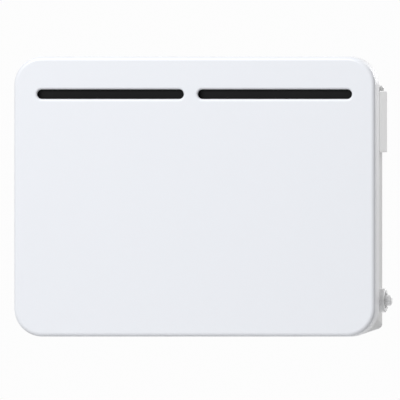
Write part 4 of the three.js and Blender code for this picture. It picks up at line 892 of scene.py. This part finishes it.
def dial_ring(radius, z):
    """A ring of the dial, drawn in where the flutes run."""
    points = []
    for i in range(flute_count * flute_steps):
        turn = math.tau * i / (flute_count * flute_steps)
        off = ((i / flute_steps) % 1 - 0.5) * math.tau / flute_count
        reach = dial_radius + flute_radius / 2
        inside = flute_radius**2 - (reach * math.sin(off)) ** 2
        here = min(radius, reach * math.cos(off) - math.sqrt(inside)) if inside > 0 else radius
        points.append(at(dial_x + here * math.cos(turn), dial_depth + here * math.sin(turn), z))
    return points


rings = [dial_ring(shaft_bore, shaft_top + running_fit), dial_ring(shaft_bore, dial_bottom + dial_gap),
         dial_ring(pot_bush + dial_gap, dial_bottom + dial_gap), dial_ring(pot_bush + dial_gap, dial_bottom)]
fluted = lambda inset, z: dial_ring(dial_radius - inset, z)
rings += rolled(fluted, dial_bottom + dial_foot_edge, dial_foot_edge, 4, -1)
rings += rolled(fluted, dial_top - dial_edge, dial_edge, 12)
notch = block((dial_x - notch_half, dial_x + notch_half),
              (dial_depth - dial_radius, dial_depth - dial_radius / 4),
              (dial_top - notch_depth, dial_top + overrun))
made = cut_out(skinned(rings), [notch])
add_piece("dial_cap", made, white_nylon, ["temperature_dial"], body="temperature_dial")

# Leads: stranded copper in silicone sheaths, which stand the heat near the element.
# They run from the element over the cut-out, the terminals and the switch to the thermostat's board.

lead_radius = 1.6
lead_bend = 4
lead_sweep = 16
lead_steps = 14

silicone = finish("silicone_sheath", (0.62, 0.60, 0.54), (0.5, 0.62), 0.9, 0.012)


def smooth_route(corners):
    """Points along a smooth curve through corners of X, depth and Z."""
    places = [at(*corner) for corner in corners]
    places = [places[0] * 2 - places[1]] + places + [places[-1] * 2 - places[-2]]
    path = []
    for a, b, c, d in zip(places, places[1:], places[2:], places[3:]):
        first, middle, last = ((q - p).length ** 0.5 for p, q in ((a, b), (b, c), (c, d)))
        leave = ((b - a) / first - (c - a) / (first + middle) + (c - b) / middle) * middle
        arrive = ((c - b) / middle - (d - b) / (middle + last) + (d - c) / last) * middle
        for k in range(lead_steps):
            t = k / lead_steps
            path.append(b + leave * t + (c * 3 - b * 3 - leave * 2 - arrive) * t**2
                        + (b * 2 - c * 2 + leave + arrive) * t**3)
    return path + [places[-2]]


def near(place, *steps):
    """Corners of a route, each by its step from one place."""
    return [tuple(here + more for here, more in zip(place, step)) for step in steps]


def to_terminal(way):
    return near((terminal_left, wire_depth, way), (-2 * lead_bend, -lead_bend, 0), (-lead_bend, 0, 0),
                (-sheet_fit, 0, 0))


low_way, middle_way, high_way = ways
end = sheath_half + sheet_fit
lead_front = shield_depth - cutout_height + lead_radius + sheet_fit
switch_top = switch_level + switch_half_height
routes = {
    "element_lead_right":
        near((end, element_depth, element_level), (0, 0, 0), (lead_radius, 0, 0),
             (2 * lead_bend, lead_radius, lead_bend), (lead_bend, lead_bend, lead_sweep))
        + [(terminal_left + lead_bend, element_depth + 2 * lead_bend, low_way - lead_sweep)]
        + near((terminal_left, wire_depth, low_way), (-lead_bend, -3 * lead_bend, -2 * lead_bend))
        + to_terminal(low_way),
    "element_lead_left":
        near((-end, element_depth, element_level), (0, 0, 0), (-lead_radius, 0, 0),
             (-2 * lead_bend, lead_radius, lead_bend))
        + [(-end - lead_bend, lead_front, element_level + 2 * lead_sweep)]
        + near((-shield_half_width, lead_front, cutout_level), (-lead_sweep, 0, -lead_sweep),
               (lead_sweep, 0, 0))
        + near((cutout_x - cutout_radius, lead_front, cutout_level), (-lead_sweep, 0, 0),
               (-sheet_fit, 0, 0)),
    "cutout_lead":
        near((cutout_x + cutout_radius, lead_front, cutout_level), (sheet_fit, 0, 0), (lead_sweep, 0, 0))
        + [(shield_half_width - lead_sweep, lead_front, cutout_level),
           (shield_half_width + lead_bend, lead_front, middle_way + lead_sweep)]
        + near((terminal_left, wire_depth, middle_way), (-2 * lead_bend, -2 * lead_bend, lead_bend))
        + to_terminal(middle_way),
    "switch_lead":
        near((terminal_right, wire_depth, middle_way), (sheet_fit, 0, 0), (lead_radius, 0, 0),
             (lead_bend, -lead_bend, -lead_bend))
        + [(terminal_right, wire_depth - lead_sweep, low_way - lead_sweep)]
        + near((terminal_right - lead_bend, switch_depth, switch_top), (0, 0, lead_sweep),
               (0, 0, sheet_fit)),
    "control_lead":
        near((terminal_right, wire_depth, high_way), (sheet_fit, 0, 0), (lead_radius, 0, 0),
             (lead_bend, 0, 2 * lead_bend))
        + [(terminal_right + lead_radius, wire_depth, pocket_floor - lead_sweep),
           (terminal_right + lead_radius, wire_depth, housing_bottom + housing_wall),
           (terminal_right, wire_depth, board_bottom)]
        + near((board_right, wire_depth, board_bottom), (lead_bend, 0, lead_bend),
               (sheet_fit, 0, lead_bend)),
}
for name, corners in routes.items():
    made = wound(smooth_route(corners), lead_radius, 20)
    add_piece(f"{name}_sheath", made, silicone, [name])

# Rubber pieces: a grommet in the sloping bottom, for the mains cord, and two buffers on the back.
# Both are moulded in black rubber with soft edges. The buffers keep the lower edge off the wall.

grommet_bore = 4
grommet_neck = 6.5
grommet_flange = 9.5
grommet_lip = 2
buffer_radius = 9
buffer_dome = 0.9

rubber = finish("black_rubber", (0.02, 0.02, 0.021), (0.6, 0.8), 0.8, 0.01)
top = casing_sheet + sheet_fit
profile = eased([(grommet_bore, -grommet_lip - sheet_fit, 0.6),
                 (grommet_flange, -grommet_lip - sheet_fit, 1.6), (grommet_flange, -sheet_fit, 0),
                 (grommet_neck, -sheet_fit, 0), (grommet_neck, top, 0), (grommet_flange, top, 0),
                 (grommet_flange, top + grommet_lip, 1.6), (grommet_bore, top + grommet_lip, 0.6)])
made = turned(profile + profile[:1], grommet_seat, grommet_axis, 64)
add_piece("cord_grommet", made, rubber, ["cable_grommet"])
thickness = wall_distance - casing_back
for word, side in (("left", -1), ("right", 1)):
    profile = eased([(0, 0, 0), (buffer_radius, 0, 0), (buffer_radius, thickness, buffer_dome),
                     (0, thickness, 0)])
    place = at(side * (foot_end + buffer_radius), casing_back, shield_bottom)
    add_piece(f"buffer_{word}", turned(profile, place, back), rubber, [f"wall_buffer_{word}"])

# Rim frame: a folded steel frame behind the panel's edge, seen as a thin light line down the side.
# Its front lip stands inside the panel, and eight screws hold its rear flange to the casing's.
# Nylon clips in the flange take the panel's studs.

rim_sheet = 1
rim_front = 12.4
spigot_inset = 1.3
spigot_front = 8
rim_bend = 0.6
panel_corner = 41
stud_head = 3.1
clip_wall = 1.3
clip_flange = 1.6


def panel_ring(inset, depth):
    outline = centred(0, 0, half_width - inset, half_height - inset, panel_corner - inset, steps=24)
    return ring(outline, depth)


rings = [panel_ring(spigot_inset, spigot_front), panel_ring(spigot_inset, rim_front)]
rings += rolled(panel_ring, rim_front + rim_bend, rim_bend, 5, -1)
rings += rolled(panel_ring, rim_back - rim_bend, rim_bend, 5)
rings += [ring(window_outline, rim_back), ring(window_outline, rim_back - rim_sheet),
          panel_ring(rim_sheet, rim_back - rim_sheet), panel_ring(rim_sheet, rim_front + rim_sheet),
          panel_ring(spigot_inset + rim_sheet, rim_front + rim_sheet),
          panel_ring(spigot_inset + rim_sheet, spigot_front)]
rim = skinned(rings + rings[:1], ends=False)
bmesh.ops.remove_doubles(rim, verts=rim.verts, dist=same_place)
bmesh.ops.recalc_face_normals(rim, faces=rim.faces)
cutters = drills(frame_screw_places, rim_back - 3, 5)
cutters += drills(stud_places, rim_back - 3, 5, clip_radius + sheet_fit, 32)
rim_coat = finish("rim_powder_coat", (0.84, 0.84, 0.86), (0.32, 0.40), 1.2, 0.006, 0.006)
add_piece("rim_band", cut_out(rim, cutters), rim_coat, ["rim_frame"])
add_screws("frame", [at(x, rim_back - rim_sheet, z) for x, z in frame_screw_places], back, screw_length)
sleeve = rim_sheet + casing_sheet
clip_bore = stud_head + running_fit
for i, (x, z) in enumerate(stud_places):
    profile = eased([(clip_bore, -clip_flange, 0.3), (clip_radius + clip_wall, -clip_flange, 0.5),
                     (clip_radius + clip_wall, 0, 0), (clip_radius, 0, 0), (clip_radius, sleeve, 0.3),
                     (clip_bore, sleeve, 0.3)])
    made = turned(profile + profile[:1], at(x, rim_back - rim_sheet, z), back)
    add_piece(f"nylon_clip_{i + 1}", made, white_nylon, [f"stud_clip_{i + 1}"])

# Air guide: the sheet that turns the warm air out through the slots.
# It hangs by a flange inside the panel, falls close behind the slots and runs back to the heat shield.
# It is coated in a matt heat-proof black, which is what shows inside the slots.

panel_sheet = 1
guide_sheet = 0.8
guide_flange = 13
guide_foot = half_height - 43.7
guide_bend = 14
guide_fall = 2
guide_drop = 36.8
guide_side = half_width - 23.75
guide_steps = 36


def guide_point(share, corners):
    """A point of the guide's curve and its direction there."""
    a, b, c, d = corners
    rest = 1 - share
    point = a * rest**3 + b * 3 * rest**2 * share + c * 3 * rest * share**2 + d * share**3
    pull = (b - a) * 3 * rest**2 + (c - b) * 6 * rest * share + (d - c) * 3 * share**2
    return point, pull.normalized()


black_coat = finish("heatproof_black", (0.026, 0.026, 0.027), (0.7, 0.85), 0.7, 0.012, 0.2, specular=0.02)
corners = (Vector((panel_sheet, guide_foot)), Vector((guide_bend, guide_foot)),
           Vector((guide_fall, guide_foot - guide_drop)),
           Vector((shield_depth - guide_sheet - sheet_fit, shield_top - guide_sheet)))
front_line = []
back_line = []
for i in range(guide_steps + 1):
    point, along = guide_point(i / guide_steps, corners)
    front_line.append(tuple(point))
    back_line.append(tuple(point + Vector((-along.y, along.x)) * guide_sheet))
back_line[0] = (panel_sheet + guide_sheet, guide_foot + guide_sheet)
flange_top = guide_foot + guide_flange
outline = front_line + back_line[::-1] + [(panel_sheet + guide_sheet, flange_top), (panel_sheet, flange_top)]
beside_pocket = block((half_width - pocket_width - sheet_fit, half_width),
                      (rim_back - rim_sheet - sheet_fit, casing_back), (pocket_floor, half_height))
made = cut_out(plate([outline], -guide_side, guide_side, end_on), [beside_pocket])
add_piece("guide_sheet", made, black_coat, ["air_guide"])

# Front panel: one drawn steel sheet with a rolled edge, large corners and two long slots for the warm air.
# The slots' lips are rolled inwards. It snaps on by four studs welded to its back.
# Its powder coat is a slightly cooler white than the casing's.

panel_roll = 6
panel_depth = 12
slot_height = 13.6
slot_level = half_height - 53.75
slot_margin = 33.9
slot_bridge = 20.6
bridge_shift = -5.5
slot_lip_radius = 3.4
slot_lip_depth = 4
stud_radius = 2.4
stud_foot = 5


def slot_ring(ends, growth, depth):
    radius = slot_height / 2 + growth
    right_end = arc(ends[1] - slot_height / 2, slot_level, radius, -90, 90, 28)
    left_end = arc(ends[0] + slot_height / 2, slot_level, radius, 90, 270, 28)
    return ring(right_end + left_end, depth)


panel_coat = finish("panel_powder_coat", (0.82, 0.83, 0.86), (0.32, 0.40), 1.2, 0.006, 0.006)
air_slots = [(slot_margin - half_width, bridge_shift - slot_bridge / 2),
             (bridge_shift + slot_bridge / 2, half_width - slot_margin)]
chains = [rolled(panel_ring, panel_roll, panel_roll, 16, -1)
          + [panel_ring(0, panel_depth), panel_ring(panel_sheet, panel_depth)]
          + rolled(panel_ring, panel_roll, panel_roll - panel_sheet, 8, -1, panel_sheet)[::-1]]
for ends in air_slots:
    lip = lambda growth, depth: slot_ring(ends, growth, depth)
    chains.append(rolled(lip, slot_lip_radius, slot_lip_radius, 6, -1)
                  + [lip(0, slot_lip_depth), lip(panel_sheet, slot_lip_depth)]
                  + rolled(lip, slot_lip_radius, slot_lip_radius - panel_sheet, 4, -1, panel_sheet)[::-1])
skin = bmesh.new()
face_edges = []
back_edges = []
for rings in chains:
    loops = stitched(skin, rings)
    for edges, loop in ((face_edges, loops[0]), (back_edges, loops[-1])):
        edges += [skin.edges.get((loop[k - 1], loop[k])) for k in range(len(loop))]
bmesh.ops.triangle_fill(skin, edges=face_edges, use_beauty=True)
bmesh.ops.triangle_fill(skin, edges=back_edges, use_beauty=True)
bmesh.ops.recalc_face_normals(skin, faces=skin.faces)
add_piece("panel_skin", skin, panel_coat, ["front_panel"], edge=0, sharp=40)
stud_length = rim_back - panel_sheet + casing_sheet
neck = stud_length - sleeve - clip_flange
for i, (x, z) in enumerate(stud_places):
    profile = eased([(0, 0, 0), (stud_foot, 0, 0), (stud_foot, 1, 0.3),
                     (stud_radius, 1 + stud_radius / 2, 0.8), (stud_radius, neck, 0.8),
                     (stud_head, neck + clip_flange, 0.4), (stud_head, stud_length - clip_wall, 0.5),
                     (stud_head / 2, stud_length, 0.5), (0, stud_length, 0)])
    made = turned(profile, at(x, panel_sheet, z), back)
    add_piece(f"welded_stud_{i + 1}", made, plated, [f"panel_stud_{i + 1}"])

# Room: a pale floor below the hung heater and a white studio around it. A large lamp stands at the upper
# left, a softer one behind the heater on the right and a weak one above it.

floor_drop = 1.0
floor_reach = 2.0
ground = cad_box[0].z - floor_drop
floor_mesh = bpy.data.meshes.new("floor")
corners = [(-floor_reach, -floor_reach), (floor_reach, -floor_reach), (floor_reach, floor_reach),
           (-floor_reach, floor_reach)]
floor_mesh.from_pydata([(x, y, ground) for x, y in corners], [], [(0, 1, 2, 3)])
floor = bpy.data.objects.new("floor", floor_mesh)
scene.collection.objects.link(floor)
floor_mesh.materials.append(finish("pale_floor", (0.75, 0.75, 0.75), (0.6, 0.7), 10, 0.01, 0.01))

ambient = 0.2
backdrop = 0.98
world = bpy.data.worlds.new("studio")
world.use_nodes = True
scene.world = world
tree = world.node_tree
seen = tree.nodes.new("ShaderNodeLightPath")
shown = seen.outputs["Is Camera Ray"]
for kind in ("Is Glossy Ray", "Is Transmission Ray"):
    either = tree.nodes.new("ShaderNodeMath")
    either.operation = "MAXIMUM"
    tree.links.new(shown, either.inputs[0])
    tree.links.new(seen.outputs[kind], either.inputs[1])
    shown = either.outputs["Value"]
strength = tree.nodes.new("ShaderNodeMapRange")
strength.inputs["To Min"].default_value = ambient
strength.inputs["To Max"].default_value = backdrop
tree.links.new(shown, strength.inputs["Value"])
tree.nodes["Background"].inputs["Color"].default_value = (1, 1, 1, 1)
tree.links.new(strength.outputs["Result"], tree.nodes["Background"].inputs["Strength"])


def lamp(name, azimuth, elevation, distance, size, level, color=(1, 1, 1)):
    """A square lamp that lights a surface facing it to this share of its own colour."""
    data = bpy.data.lights.new(name, "AREA")
    data.shape = "SQUARE"
    data.size = size
    data.energy = level * math.pi**2 * distance**2
    data.color = color
    turn, rise = math.radians(azimuth), math.radians(elevation)
    direction = Vector((math.sin(turn) * math.cos(rise), -math.cos(turn) * math.cos(rise), math.sin(rise)))
    lamp_object = bpy.data.objects.new(name, data)
    lamp_object.location = direction * distance
    lamp_object.rotation_euler = direction.to_track_quat("Z", "Y").to_euler()
    lamp_object.visible_camera = False
    scene.collection.objects.link(lamp_object)


lamp("key_lamp", azimuth=-20, elevation=34, distance=6, size=3, level=0.93, color=(0.975, 0.99, 1.01))
lamp("rear_lamp", azimuth=150, elevation=20, distance=5, size=3, level=0.42)
lamp("top_lamp", azimuth=100, elevation=65, distance=5, size=3, level=0.2)

# Camera: far enough back to show no perspective, 12 degrees to the right of straight on.

view_turn = math.radians(12)
view_width = 400 / 700
view_aside = 0.0083
view_down = 0.0049
lens_distance = 3
data = bpy.data.cameras.new("camera")
data.type = "ORTHO"
data.ortho_scale = view_width
camera = bpy.data.objects.new("camera", data)
toward_lens = Vector((math.sin(view_turn), -math.cos(view_turn), 0))
rightward = Vector((math.cos(view_turn), math.sin(view_turn), 0))
aim = Vector((0, cad_box[0].y, 0)) + rightward * view_aside - Vector((0, 0, view_down))
camera.location = aim + toward_lens * lens_distance
camera.rotation_euler = toward_lens.to_track_quat("Z", "Y").to_euler()
scene.collection.objects.link(camera)
scene.camera = camera
scene.view_settings.view_transform = "Standard"
